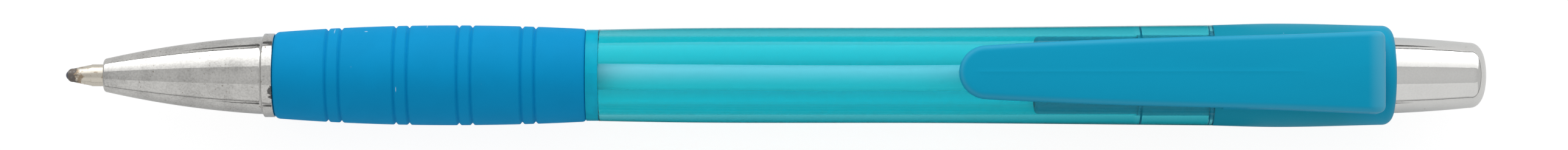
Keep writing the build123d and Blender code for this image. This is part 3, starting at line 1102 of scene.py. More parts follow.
@dataclass
class TintedBarrel:
    """See-through upper barrel with its spigot, and the lower barrel whose flange shows behind the grip."""

    at: Stations
    front_radius: float = 4.71 * MM
    shoulder: Point = (8.8 * MM, 4.86 * MM)
    waist: Point = (35.25 * MM, 4.92 * MM)
    rear_radius: float = 5.165 * MM
    bore_radius: float = 4.1 * MM
    mouth_radius: float = 4.2 * MM
    mouth_depth: float = 8.05 * MM
    relief_radius: float = 4.6 * MM
    relief_depth: float = 0.55 * MM
    web: float = 0.15 * MM
    joint_gap: float = 0.02 * MM
    web_radius: float = 2.75 * MM
    spigot_radius: float = 3.3 * MM
    edge_rounding: float = 0.05 * MM
    shade_blend: float = 0.8 * MM
    gloss_tint: Colour = (0.45, 0.95, 1.0, 1.0)

    def build(self) -> None:
        """Models the upper barrel and seats it, and dresses the lower one."""
        at = self.at
        # Painted light and shade on the barrel: pale base colour above the axis, deeper cyan below it.
        finish = TintedFinish(
            "tinted_plastic",
            lit_upper_colour=(0.85, 0.97, 1.0, 1.0),
            shaded_lower_colour=(0.0, 0.97, 1.0, 1.0),
            tint=(0.0, 0.875, 0.925, 1.0),
            gloss_tint=self.gloss_tint,
            density=1000.0,
            roughness=0.015,
            middle=at.axis,
            blend=self.shade_blend,
        )
        front = at.seam + self.joint_gap
        stops = [
            (front, self.front_radius),
            (at.seam + self.shoulder[0], self.shoulder[1]),
            (at.seam + self.waist[0], self.waist[1]),
            (at.collar, self.rear_radius),
        ]
        outline = Outline([(front, self.spigot_radius), stops[0]]).through(stops)
        outline.to(
            (at.collar, self.relief_radius),
            (at.collar - self.relief_depth, self.relief_radius),
            (at.collar - self.relief_depth, self.mouth_radius),
            (at.collar - self.mouth_depth, self.mouth_radius),
            (at.collar - self.mouth_depth, self.bore_radius),
            (at.seam + self.web, self.bore_radius),
            (at.seam + self.web, self.web_radius),
            (at.barrel_front, self.web_radius),
            (at.barrel_front, self.spigot_radius),
        )
        rims = [
            Rim(front, self.front_radius, self.edge_rounding, segments=3),
            Rim(at.collar, self.rear_radius, self.edge_rounding, segments=3),
        ]
        piece = finished("barrel", outline.turned(at.axis, rims), finish.build())
        seat(piece, Body.BARREL, "tinted_plastic", "upper_barrel")
        cloudy = CloudyFinish(
            "cloudy_tint",
            colour=(0.0, 0.72, 0.97, 1.0),
            shade_colour=(0.0, 0.64, 0.9, 1.0),
            gloss_tint=self.gloss_tint,
            roughness=0.3,
            clearness=0.5,
        )
        dress_node("grip_barrel", cloudy.build())


@dataclass
class ClipCollar:
    """Blue moulding: a collar with the guide sleeve that plugs into the barrel, and the clip on top."""

    at: Stations
    front_radius: float = 5.17 * MM
    front_rounding: float = 0.06 * MM
    belly: Point = (6.5 * MM, 5.32 * MM)
    rear_radius: float = 5.1 * MM
    rear_rounding: float = 1.1 * MM
    rear_fullness: float = 2.0
    rear_steps: int = 12
    sleeve_radius: float = 4.0 * MM
    sleeve_length: float = 18.25 * MM
    sleeve_rounding: float = 0.4 * MM
    socket_radius: float = 4.15 * MM
    socket_length: float = 7.75 * MM
    ridge_radius: float = 4.21 * MM
    ridge_reach: Span = (7.5 * MM, 7.3 * MM)
    shoulder_radius: float = 4.56 * MM
    shoulder_length: float = 0.5 * MM
    lip_radius: float = 4.61 * MM
    lip_width: float = 0.12 * MM
    guide_radius: float = 3.35 * MM
    guide_end: float = 14.15 * MM
    stem_radius: float = 2.25 * MM
    bore_radius: float = 4.0 * MM
    bore_depth: float = 11.65 * MM
    rib_radius: float = 2.95 * MM
    rib_length: float = 10.0 * MM
    rib_turn: float = math.radians(62)
    rib_count: int = 4
    rib_steps: int = 16
    clip_setback: float = 1.45 * MM
    clip_front_width: float = 5.3 * MM
    clip_rear_width: float = 8.3 * MM
    clip_front_height: float = 7.1 * MM
    clip_crest: Point = (11.8 * MM, 8.038 * MM)
    clip_crest_blend: float = 0.09 * MM
    clip_rear_height: float = 7.6 * MM
    clip_thickness: float = 1.6 * MM
    clip_crown: float = 0.4 * MM
    clip_edge: float = 0.6 * MM
    clip_edge_steps: int = 7
    clip_corner: float = 0.7 * MM
    clip_corner_steps: int = 6
    clip_rear_reach: float = 2.2 * MM
    clip_rear_fall: float = 0.45 * MM
    clip_root: float = 0.6 * MM
    clip_saddle: float = 4.6 * MM
    tip_cuts: int = 6
    arm_cuts: int = 24
    root_cut: float = 0.25 * MM
    crest_cuts: int = 12
    rear_cuts: int = 8
    uncut_steps: int = 2
    half_lanes: float = 5.5
    lane_cuts: int = 4
    pinch_length: float = 6.5 * MM
    pinch_height: float = 5.215 * MM
    line_width: float = 0.05 * MM
    line_height: float = 0.012 * MM
    line_reach: Span = (1.8 * MM, 34.0 * MM)
    swell: float = 0.39 * MM
    swell_start: float = 1.35 * MM
    swell_reach: float = 31.0 * MM
    swell_skew: float = 0.75
    # Edge paleness is partly wear, partly painted highlight; the rear paleness is painted highlight.
    edge_wear_and_highlight: float = 0.3
    edge_wear_onset: float = 0.25
    painted_rear_highlight: float = 0.6
    painted_rear_highlight_reach: float = 1.8 * MM
    collar_shade: float = 0.65
    collar_fade: float = 6.0 * MM
    least_shade: float = 0.2

    @property
    def rear(self) -> float:
        """Station of the clip's rear end."""
        return self.at.collar_end - self.clip_setback

    @property
    def root(self) -> float:
        """Station where the clip stands up from the collar."""
        return self.at.collar + self.clip_root

    @property
    def tip_end(self) -> float:
        """Station where the clip's round tip ends."""
        return self.at.clip + self.clip_front_width / 2

    def build(self) -> None:
        """Models the collar and the clip and seats them on the barrel."""
        # One moulding, with painted shade on the sleeve and the collar and painted highlight on the clip's
        # edges and rear.
        finish = MouldedFinish(
            "blue_moulding",
            colour=(0.0, 0.335, 0.555, 1.0),
            shade_colour=(0.0, 0.315, 0.525, 1.0),
            speck_colour=(0.3, 0.55, 0.7, 1.0),
            worn_and_highlight_colour=(0.14, 0.48, 0.66, 1.0),
            painted_shade_colour=(0.0, 0.25, 0.34, 1.0),
            roughness=0.36,
        )
        material = finish.build()
        collar = finished("collar", self.collar(), material)
        seat(collar, Body.BARREL, "clip_plastic", "clip_collar")
        clip = finished("clip", self.clip(), material)
        seat(clip, Body.BARREL, "clip_plastic", "clip_collar")

    def collar(self) -> bmesh.types.BMesh:
        """Models the collar with its sleeve and the guide ribs inside.

        Returns:
            The shape.
        """
        at = self.at
        sleeve = at.collar - self.sleeve_length
        stops = [
            (at.collar, self.front_radius),
            (at.collar + self.belly[0], self.belly[1]),
            (at.collar_end - self.rear_rounding, self.rear_radius),
        ]
        shoulder = at.collar - self.shoulder_length
        ridge, ridge_end = (at.collar - reach for reach in self.ridge_reach)
        outline = Outline([(shoulder, self.socket_radius)])
        outline.to(
            (shoulder, self.lip_radius),
            (shoulder + self.lip_width, self.lip_radius),
            (shoulder + self.lip_width, self.shoulder_radius),
            (at.collar - self.lip_width, self.shoulder_radius),
            (at.collar - self.lip_width, self.lip_radius),
            (at.collar, self.lip_radius),
            stops[0],
        )
        outline.through(stops)
        outline.dome_to((at.collar_end, self.bore_radius), self.rear_fullness, self.rear_steps)
        outline.to(
            (at.collar_end - self.bore_depth, self.bore_radius),
            (at.collar_end - self.bore_depth, self.stem_radius),
            (at.collar_end - self.guide_end, self.stem_radius),
            (at.collar_end - self.guide_end, self.guide_radius),
            (sleeve, self.guide_radius),
            (sleeve, self.sleeve_radius),
            (at.collar - self.socket_length, self.sleeve_radius),
            (at.collar - self.socket_length, self.socket_radius),
            (ridge, self.socket_radius),
            (ridge, self.ridge_radius),
            (ridge_end, self.ridge_radius),
            (ridge_end, self.socket_radius),
        )
        rims = [
            Rim(at.collar, self.front_radius, self.front_rounding, segments=2),
            Rim(sleeve, self.sleeve_radius, self.sleeve_rounding, segments=4),
        ]
        bm = outline.turned(at.axis, rims)
        for index in range(self.rib_count):
            self.add_rib(bm, FULL_TURN * (index + 0.5) / self.rib_count)
        # Painted shade, held in a vertex layer.
        painted_shade = bm.verts.layers.float.new(PAINTED_SHADE_LAYER)
        for vert in bm.verts:
            vert[painted_shade] = self.painted_shade_share(vert.co.x)
        return bm

    def painted_shade_share(self, station: float) -> float:
        """Works out how much painted shade the collar has: all of it inside the barrel, and outside it a
        share that fades towards the rear end.

        Args:
            station: Where along the pen.

        Returns:
            The share of the painted shade there.
        """
        if station < self.at.collar - self.shoulder_length + RIM_TOLERANCE:
            return 1.0
        left = (self.at.collar_end - station) / self.collar_fade
        return self.collar_shade * min(1.0, max(self.least_shade, left))

    def add_rib(self, bm: bmesh.types.BMesh, angle: float) -> None:
        """Adds one guide rib inside the sleeve.

        Args:
            bm: The collar.
            angle: Where the rib's middle is, round the pen.
        """
        at = self.at
        end = at.collar_end - self.guide_end
        outer = (self.guide_radius + self.sleeve_radius) / 2
        start = end - self.rib_length
        corners = [(start, self.rib_radius), (start, outer), (end, outer), (end, self.rib_radius)]
        verts = [bm.verts.new((x, 0.0, at.axis + radius)) for x, radius in corners]
        first = bm.faces.new(verts)
        turn = Matrix.Rotation(angle - self.rib_turn / 2, 4, "X")
        bmesh.ops.rotate(bm, verts=verts, cent=(0.0, 0.0, at.axis), matrix=turn)
        bmesh.ops.spin(
            bm,
            geom=[first, *first.edges, *verts],
            cent=(0.0, 0.0, at.axis),
            axis=ALONG,
            angle=self.rib_turn,
            steps=self.rib_steps,
        )

    def clip_top(self, station: float, across: float) -> float:
        """Works out the clip's top, which rises to a crest, falls to its rear end and is crowned across.

        Args:
            station: Where along the pen.
            across: Where across it.

        Returns:
            The top's height over the floor there.
        """
        crest_reach, crest_height = self.clip_crest
        crest = self.rear - crest_reach
        rise = (crest_height - self.clip_front_height) / (crest - self.at.clip)
        fall = (crest_height - self.clip_rear_height) / crest_reach
        before, behind = rise * (station - crest), fall * (crest - station)
        height = crest_height + (before + behind - math.hypot(before - behind, self.clip_crest_blend)) / 2
        past = max(0.0, station - (self.rear - self.clip_rear_reach)) / self.clip_rear_reach
        half = self.clip_rear_width / 2
        return self.at.axis + height - self.clip_rear_fall * past**2 - self.clip_crown * (across / half) ** 2

    def clip_under(self, station: float, across: float) -> float:
        """Works out the clip's underside, with the bump that pinches and the saddle on the collar.

        Args:
            station: Where along the pen.
            across: Where across it.

        Returns:
            The underside's height over the floor there.
        """
        if station > self.root:
            return self.at.axis + math.sqrt(self.clip_saddle**2 - across**2)
        under = self.clip_top(station, 0.0) - self.clip_thickness
        along = (station - self.at.clip) / self.pinch_length
        if 0.0 < along < 1.0:
            bump = math.sin(math.pi * along) ** 2
            under += (self.at.axis + self.pinch_height - under) * bump
        return under

    def clip(self) -> bmesh.types.BMesh:
        """Models the clip: its outline from above, raised, rounded, cut into a grid and arched.

        Returns:
            The shape.
        """
        bm = bmesh.new()
        base = bm.faces.new([bm.verts.new((x, y, 0.0)) for x, y in self.clip_plan()])
        raised = bmesh.ops.extrude_face_region(bm, geom=[base])["geom"]
        top = next(part for part in raised if isinstance(part, bmesh.types.BMFace))
        bmesh.ops.translate(bm, verts=top.verts, vec=(0.0, 0.0, self.clip_thickness - self.clip_edge))
        bmesh.ops.recalc_face_normals(bm, faces=bm.faces)
        self.round_top(bm, top)
        for station in self.clip_cuts():
            self.slice(bm, (station, 0.0, 0.0), ALONG)
        for across in self.clip_lanes():
            self.slice(bm, (0.0, across, 0.0), ACROSS)
        self.arch(bm)
        bmesh.ops.recalc_face_normals(bm, faces=bm.faces)
        return bm

    def clip_plan(self) -> list[Point]:
        """Draws the clip from above: its round tip, then its two rear corners.

        Returns:
            The points of its outline.
        """
        tip = self.clip_front_width / 2
        half, corner = self.clip_rear_width / 2, self.clip_corner
        plan: list[Point] = []
        for step in range(ARC_STEPS + 1):
            angle = math.pi * (0.5 + step / ARC_STEPS)
            plan.append((self.at.clip + tip * (1 + math.cos(angle)), tip * math.sin(angle)))
        turn = [math.pi / 2 * step / self.clip_corner_steps for step in range(self.clip_corner_steps + 1)]
        for side, angles in ((-1, reversed(turn)), (1, turn)):
            for angle in angles:
                station = self.rear - corner * (1 - math.cos(angle))
                plan.append((station, side * (half - corner * (1 - math.sin(angle)))))
        return plan

    def clip_cuts(self) -> list[float]:
        """Lays the cuts across the clip closer where it bends more, and leaves its two ends uncut.

        Returns:
            The stations of the cuts.
        """
        tip = self.clip_front_width / 2
        arm = self.root - self.tip_end
        fall = self.rear - self.clip_rear_reach
        crest = fall - self.root
        first = self.uncut_steps - self.tip_cuts
        last = self.rear_cuts - self.uncut_steps
        cuts = [self.tip_end + tip * step / self.tip_cuts for step in range(first, 1)]
        cuts += [self.tip_end + arm * step / self.arm_cuts for step in range(1, self.arm_cuts + 1)]
        cuts += [self.root + self.root_cut]
        cuts += [self.root + crest * step / self.crest_cuts for step in range(1, self.crest_cuts + 1)]
        cuts += [fall + self.clip_rear_reach * step / self.rear_cuts for step in range(1, last + 1)]
        return cuts

    def clip_lanes(self) -> list[float]:
        """Lays the cuts along the clip, with two more beside its mould line.

        Returns:
            Their places across the pen.
        """
        tip = self.clip_front_width / 2
        lanes = [tip * step / self.half_lanes for step in range(-self.lane_cuts, self.lane_cuts + 1)]
        return [*lanes, -self.line_width, self.line_width]

    def arch(self, bm: bmesh.types.BMesh) -> None:
        """Lifts the flat clip to its height, marks its wear and painted highlights and widens it to its
        curved sides.

        Args:
            bm: The clip.
        """
        line_start, line_end = (self.at.clip + reach for reach in self.line_reach)
        # Pale colour on the top: wear and painted highlight on the rounded edges, painted highlight along the
        # rear end.
        worn = bm.verts.layers.float.new(WORN_AND_HIGHLIGHT_LAYER)
        for vert in bm.verts:
            station, across, level = vert.co
            if level < self.clip_thickness / 4:
                vert.co.z = self.clip_under(station, across) + level
            else:
                vert[worn] = self.wear(station, (self.clip_thickness - level) / self.clip_edge)
                vert.co.z = self.clip_top(station, across) + level - self.clip_thickness
                if line_start < station < line_end and abs(across) < RIM_TOLERANCE:
                    vert.co.z += self.line_height
            vert.co.y *= self.widening(station)

    def widening(self, station: float) -> float:
        """Works out how much wider the clip is than a straight taper from its tip to its rear.

        Args:
            station: Where along the pen.

        Returns:
            The factor on its width there.
        """
        share = (station - self.tip_end) / (self.rear - self.tip_end)
        width = self.clip_front_width + (self.clip_rear_width - self.clip_front_width) * max(0.0, share)
        along = (station - self.at.clip - self.swell_start) / self.swell_reach
        return 1 + self.swell * math.sin(math.pi * max(0.0, min(along, 1.0)) ** self.swell_skew) / width

    def wear(self, station: float, depth: float) -> float:
        """Works out how pale the clip is at a place on its top, from wear and painted highlight.

        Args:
            station: Where it is along the pen.
            depth: How far down the rounded edge it is, from 0 on the top to 1.

        Returns:
            The share of the pale colour, which is partly wear and partly painted highlight.
        """
        past = max(0.0, 1 - (self.rear - station) / self.painted_rear_highlight_reach)
        onset = min(1.0, depth / self.edge_wear_onset)
        return max(self.edge_wear_and_highlight * onset * max(0.0, 1 - depth), self.painted_rear_highlight * past)

    def round_top(self, bm: bmesh.types.BMesh, top: bmesh.types.BMFace) -> None:
        """Rounds the edge round the clip's flat top, ring by ring.

        Args:
            bm: The clip.
            top: Its top face, one rounding below its final height.
        """
        steps = self.clip_edge_steps
        for step in range(steps):
            start, end = (math.pi / 2 * part / steps for part in (step, step + 1))
            inward = self.clip_edge * (math.cos(start) - math.cos(end))
            upward = self.clip_edge * (math.sin(end) - math.sin(start))
            bmesh.ops.inset_region(bm, faces=[top], thickness=inward, use_even_offset=True)
            bmesh.ops.translate(bm, verts=top.verts, vec=(0.0, 0.0, upward))

    @staticmethod
    def slice(bm: bmesh.types.BMesh, point: Triple, normal: Triple) -> None:
        """Cuts every face along a plane, and keeps both sides."""
        geom = [*bm.verts, *bm.edges, *bm.faces]
        bmesh.ops.bisect_plane(bm, geom=geom, dist=MERGE_DISTANCE, plane_co=point, plane_no=normal)


@dataclass
class PushButton:
    """Chromed cap that narrows to a rounded crown, with the latch's plunger inside."""

    at: Stations
    radius: float = 3.9 * MM
    rim_radius: float = 3.36 * MM
    side_rise: float = 0.06 * MM
    crown: float = 1.75 * MM
    crown_fullness: float = 2.5
    socket_radius: float = 2.13 * MM
    socket_depth: float = 9.05 * MM
    skirt_chamfer: float = 0.25 * MM

    def build(self) -> None:
        """Models the button and seats it."""
        at = self.at
        rim = at.button_end - self.crown
        outline = Outline([(at.button_front, self.socket_radius)])
        outline.to(
            (at.button_front, self.radius - self.skirt_chamfer),
            (at.button_front + self.skirt_chamfer, self.radius),
            (at.collar_end, self.radius),
        )
        outline.bow_to((rim, self.rim_radius), self.side_rise)
        outline.dome_to((at.button_end, 0.0), self.crown_fullness, 2 * ARC_STEPS)
        outline.points.reverse()
        socket_end = at.button_front + self.socket_depth
        outline.to((socket_end, self.socket_radius), (socket_end, 0.0))
        finish = ChromeFinish(
            "clean_chrome",
            colour=(0.84, 0.835, 0.815, 1.0),
            pit_colour=(0.5, 0.48, 0.44, 1.0),
            roughness=0.02,
            pit_share=0.04,
            grain=0.1,
        )
        piece = finished("button", outline.turned(at.axis, closed=False), finish.build())
        seat(piece, Body.BUTTON, "chrome_button", "push_button")


@dataclass
class Latch:
    """Cam rotor and plunger, in white plastic."""

    def build(self) -> None:
        """Dresses the latch's pieces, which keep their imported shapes."""
        finish = PlainFinish(
            "white_acetal",
            colour=(0.82, 0.82, 0.79, 1.0),
            shade_colour=(0.76, 0.76, 0.73, 1.0),
            roughness=0.4,
        )
        material = finish.build()
        dress_node("cam_rotor", material)
        dress_node("plunger", material)


@dataclass
class Refill:
    """Milky tube with its spring ears, the ink in it, the turned nib and the ball."""

    at: Stations
    tube_radius: float = 1.335 * MM
    tube_bore: float = 0.885 * MM
    tube_rounding: float = 0.1 * MM
    tube_steps: int = 60
    bow: float = 0.3 * MM
    bow_start: float = -45.0 * MM
    bow_skew: float = 1.8
    ink_start: float = 4.05 * MM
    ink_length: float = 67.4 * MM
    ink_radius: float = 0.86 * MM
    ear_gap: float = 0.05 * MM
    ear_length: float = 1.6 * MM
    ear_width: float = 1.0 * MM
    ear_reach: float = 0.8 * MM
    ear_rounding: float = 0.12 * MM
    ball_radius: float = 0.5 * MM
    ball_reach: float = 0.25 * MM
    seat_radius: float = 0.53 * MM
    lip_radius: float = 0.587 * MM
    lip_length: float = 0.5 * MM
    lip_bulge: float = 0.07 * MM
    cone_length: float = 2.35 * MM
    shank_radius: float = 1.13 * MM
    shank_step: float = 0.05 * MM
    shank_chamfer: float = 0.12 * MM
    stem_radius: float = 0.855 * MM
    stem_length: float = 4.0 * MM
    channel_radius: float = 0.25 * MM

    def build(self) -> None:
        """Models the tube, the nib and the ink, seats them and dresses the ball."""
        # Painted shade on the tube's -Y side, in the barrel's tint.
        tube_finish = MilkyFinish(
            "milky_tube",
            colour=(0.88, 0.76, 0.82, 1.0),
            shaded_side_colour=(0.06, 0.78, 0.8, 1.0),
            roughness=0.3,
            lit=(-1.1 * MM, 0.9 * MM),
        )
        tube = finished("refill_body", self.tube(), tube_finish.build())
        seat(tube, Body.REFILL, "refill_plastic", "refill_tube")
        nib_finish = NibFinish(
            "stained_nickel",
            colour=(0.74, 0.69, 0.6, 1.0),
            stain_colour=(0.3, 0.2, 0.11, 1.0),
            ink_colour=(0.09, 0.085, 0.09, 1.0),
            tip=self.at.nib,
            stain_reach=2.6 * MM,
        )
        nib = finished("nib_point", self.nib(), nib_finish.build())
        seat(nib, Body.REFILL, "nib_metal", "nib")
        ball_finish = PlainFinish(
            "inked_ball",
            colour=(0.3, 0.31, 0.34, 1.0),
            shade_colour=(0.12, 0.13, 0.17, 1.0),
            roughness=0.2,
            metallic=0.8,
        )
        dress_node("writing_ball", ball_finish.build())
        ink_finish = PlainFinish(
            "black_ink",
            colour=(0.01, 0.01, 0.015, 1.0),
            shade_colour=(0.02, 0.02, 0.03, 1.0),
            roughness=0.15,
        )
        ink = finished("ink", self.ink(), ink_finish.build())
        seat(ink, Body.REFILL, "ink", "ink_column")

    def tube(self) -> bmesh.types.BMesh:
        """Models the tube, slightly bowed as it lies in the barrel, with its two ears.

        Returns:
            The shape.
        """
        at = self.at
        stations = self.spread(at.tube, at.refill_end)
        outline = Outline([(station, self.tube_radius) for station in stations])
        outline.to(*((station, self.tube_bore) for station in reversed(stations)))
        bm = outline.turned(at.axis, [Rim(at.refill_end, self.tube_radius, self.tube_rounding, segments=2)])
        self.bend(bm)
        for side in (-1, 1):
            self.add_ear(bm, side)
        return bm

    def ink(self) -> bmesh.types.BMesh:
        """Models the ink, which fills the front of the tube and is bowed with it.

        Returns:
            The shape.
        """
        start = self.at.tube + self.ink_start
        stations = self.spread(start, start + self.ink_length)
        outline = Outline([(start, 0.0), *((station, self.ink_radius) for station in stations)])
        outline.to((stations[-1], 0.0))
        bm = outline.turned(self.at.axis, closed=False)
        self.bend(bm)
        return bm

    def spread(self, start: float, end: float) -> list[float]:
        """Even stations from a start to an end, close enough for a bow."""
        return [start + (end - start) * step / self.tube_steps for step in range(self.tube_steps + 1)]

    def bend(self, bm: bmesh.types.BMesh) -> None:
        """Bows a straight piece to one side, between the nose and the rotor.

        Args:
            bm: The piece.
        """
        for vert in bm.verts:
            share = (vert.co.x - self.bow_start) / (self.at.refill_end - self.bow_start)
            vert.co.y -= self.bow * math.sin(math.pi * max(0.0, min(share, 1.0)) ** self.bow_skew)

    def add_ear(self, bm: bmesh.types.BMesh, side: int) -> None:
        """Adds one of the pinched ears that the spring pushes on.

        Args:
            bm: The tube.
            side: Sign of the ear's Y.
        """
        at = self.at
        root = (self.tube_radius + self.tube_bore) / 2
        reach = self.tube_radius + self.ear_reach - root
        block = bmesh.ops.create_cube(bm, size=1.0)["verts"]
        bmesh.ops.scale(bm, verts=block, vec=(self.ear_length, reach, self.ear_width))
        centre = (at.spring_end + self.ear_gap + self.ear_length / 2, side * (root + reach / 2), at.axis)
        bmesh.ops.translate(bm, verts=block, vec=centre)
        edges = {edge for vert in block for edge in vert.link_edges}
        round_off(bm, edges, self.ear_rounding, segments=2)

    def nib(self) -> bmesh.types.BMesh:
        """Models the nib: its cone, shank and stem, drilled for the ink.

        Returns:
            The shape.
        """
        at = self.at
        ball = at.nib - self.ball_reach + self.ball_radius
        mouth = math.sqrt(self.seat_radius**2 - self.ball_reach**2)
        seat_end = ball + math.sqrt(self.seat_radius**2 - self.channel_radius**2)
        shank = at.nib + self.cone_length
        cone_rise = (self.shank_radius - self.shank_step - self.lip_radius) / self.cone_length
        lip_end = (at.nib + self.lip_length, self.lip_radius + cone_rise * self.lip_length)
        outline = Outline([(at.nib, mouth)]).bow_to(lip_end, self.lip_bulge)
        outline.to(
            (shank, self.shank_radius - self.shank_step),
            (shank + self.shank_chamfer, self.shank_radius),
            (at.tube, self.shank_radius),
            (at.tube, self.stem_radius),
            (at.tube + self.stem_length, self.stem_radius),
            (at.tube + self.stem_length, self.channel_radius),
            (seat_end, self.channel_radius),
            (ball, self.seat_radius),
        )
        return outline.turned(at.axis)


@dataclass
class ReturnSpring:
    """Steel spring between the nose and the refill's ears."""

    at: Stations
    wire: float = 0.4 * MM
    mean_radius: float = 1.735 * MM
    turns: int = 11
    steps_per_turn: int = 40
    wire_sides: int = 10

    def build(self) -> None:
        """Winds the spring and puts it in place of the imported one."""
        at = self.at
        start = at.spring + self.wire / 2
        pitch = (at.spring_end - at.spring - self.wire) / self.turns
        bm = bmesh.new()
        section = bmesh.ops.create_circle(bm, cap_ends=False, radius=self.wire / 2, segments=self.wire_sides)
        lean = math.atan2(pitch, FULL_TURN * self.mean_radius)
        upright = Matrix.Rotation(lean, 4, "Z") @ Matrix.Rotation(math.pi / 2, 4, "X")
        place = Matrix.Translation((start, 0.0, at.axis + self.mean_radius)) @ upright
        bmesh.ops.transform(bm, matrix=place, verts=section["verts"])
        bmesh.ops.spin(
            bm,
            geom=[*bm.verts, *bm.edges],
            cent=(0.0, 0.0, at.axis),
            axis=ALONG,
            dvec=(pitch / self.steps_per_turn, 0.0, 0.0),
            angle=FULL_TURN * self.turns,
            steps=self.turns * self.steps_per_turn,
        )
        ends = [edge for edge in bm.edges if edge.is_boundary]
        bmesh.ops.holes_fill(bm, edges=ends, sides=0)
        bmesh.ops.recalc_face_normals(bm, faces=bm.faces)
        finish = PlainFinish(
            "spring_wire",
            colour=(0.6, 0.6, 0.6, 1.0),
            shade_colour=(0.5, 0.5, 0.49, 1.0),
            roughness=0.25,
            metallic=1.0,
        )
        piece = finished("spring", bm, finish.build())
        low, high = (at.spring, 0.0, at.axis), (at.spring_end, 0.0, at.axis)
        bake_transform(piece)
        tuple(low)
        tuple(high)
        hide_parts("return_spring")
        LOG.info("%s stretches between barrel and refill", piece.name)


@dataclass(frozen=True)
class Softbox:
    """Long soft lamp beside the pen, which spans a range of angles from straight above."""

    name: str
    side: Side
    upper_angle: float
    lower_angle: float
    radiance: float
    upper_share: float = 1.0
    fade_power: float = 1.5
    distance: float = 0.9
    length: float = 1.8

    def grade(self, lamp: bpy.types.Light) -> None:
        """Fades the lamp from its lower edge to its upper one.

        Args:
            lamp: The lamp.
        """
        lamp.use_nodes = True
        tree = lamp.node_tree
        place = tree.nodes.new("ShaderNodeNewGeometry")
        parts = tree.nodes.new("ShaderNodeSeparateXYZ")
        curve = tree.nodes.new("ShaderNodeMath")
        curve.operation = "POWER"
        curve.inputs[1].default_value = self.fade_power
        level = tree.nodes.new("ShaderNodeMapRange")
        level.inputs["To Min"].default_value = self.upper_share
        tree.links.new(place.outputs["Parametric"], parts.inputs[0])
        tree.links.new(parts.outputs[1], curve.inputs[0])
        tree.links.new(curve.outputs[0], level.inputs["Value"])
        tree.links.new(level.outputs[0], tree.nodes["Emission"].inputs["Strength"])

    def build(self, axis: float) -> None:
        """Hangs the lamp.

        Args:
            axis: Height of the pen's axis, which the lamp faces.
        """
        middle = (self.upper_angle + self.lower_angle) / 2
        half = (self.lower_angle - self.upper_angle) / 2
        lamp = bpy.data.lights.new(self.name, "AREA")
        lamp.shape = "RECTANGLE"
        lamp.size = self.length
        lamp.size_y = 2 * self.distance * math.sin(half)
        lamp.energy = self.radiance * math.pi * lamp.size * lamp.size_y
        if self.upper_share < 1.0:
            self.grade(lamp)
        holder = bpy.data.objects.new(self.name, lamp)
        reach = self.distance * math.cos(half)
        back = Vector((0.0, self.side.value * math.sin(middle), math.cos(middle)))
        along = Vector(ALONG)
        turn = Matrix((along, back.cross(along), back)).transposed().to_4x4()
        holder.matrix_world = Matrix.Translation(Vector((0.0, 0.0, axis)) + back * reach) @ turn
        holder.visible_camera = False
        bpy.context.scene.collection.objects.link(holder)


@dataclass(frozen=True)
class Flag:
    """Dark card on the floor beside the pen, out of the camera's sight, that the chrome mirrors as a line."""

    name: str
    side: Side
    near: float
    far: float
    start: float = -71.0 * MM
    end: float = 75.5 * MM
    corner: float = 6.0 * MM
    corner_steps: int = 8
    height: float = 0.2 * MM
    colour: Colour = (0.1, 0.1, 0.1, 1.0)
    roughness: float = 0.9
    blind_rays: tuple[str, ...] = ("camera", "diffuse", "transmission", "volume_scatter", "shadow")

    def build(self) -> None:
        """Lays the card where only mirrored rays meet it."""
        bm = bmesh.new()
        bmesh.ops.create_grid(bm, x_segments=1, y_segments=1, size=0.5)
        bmesh.ops.scale(bm, verts=bm.verts, vec=(self.end - self.start, self.far - self.near, 1.0))
        middle = self.side.value * (self.near + self.far) / 2
        bmesh.ops.translate(bm, verts=bm.verts, vec=((self.start + self.end) / 2, middle, self.height))
        round_off(bm, bm.verts, self.corner, self.corner_steps, Rounding.CORNERS)
        finish = PlainFinish(self.name, self.colour, self.colour, self.roughness)
        card = finished(self.name, bm, finish.build())
        for ray in self.blind_rays:
            setattr(card, f"visible_{ray}", False)


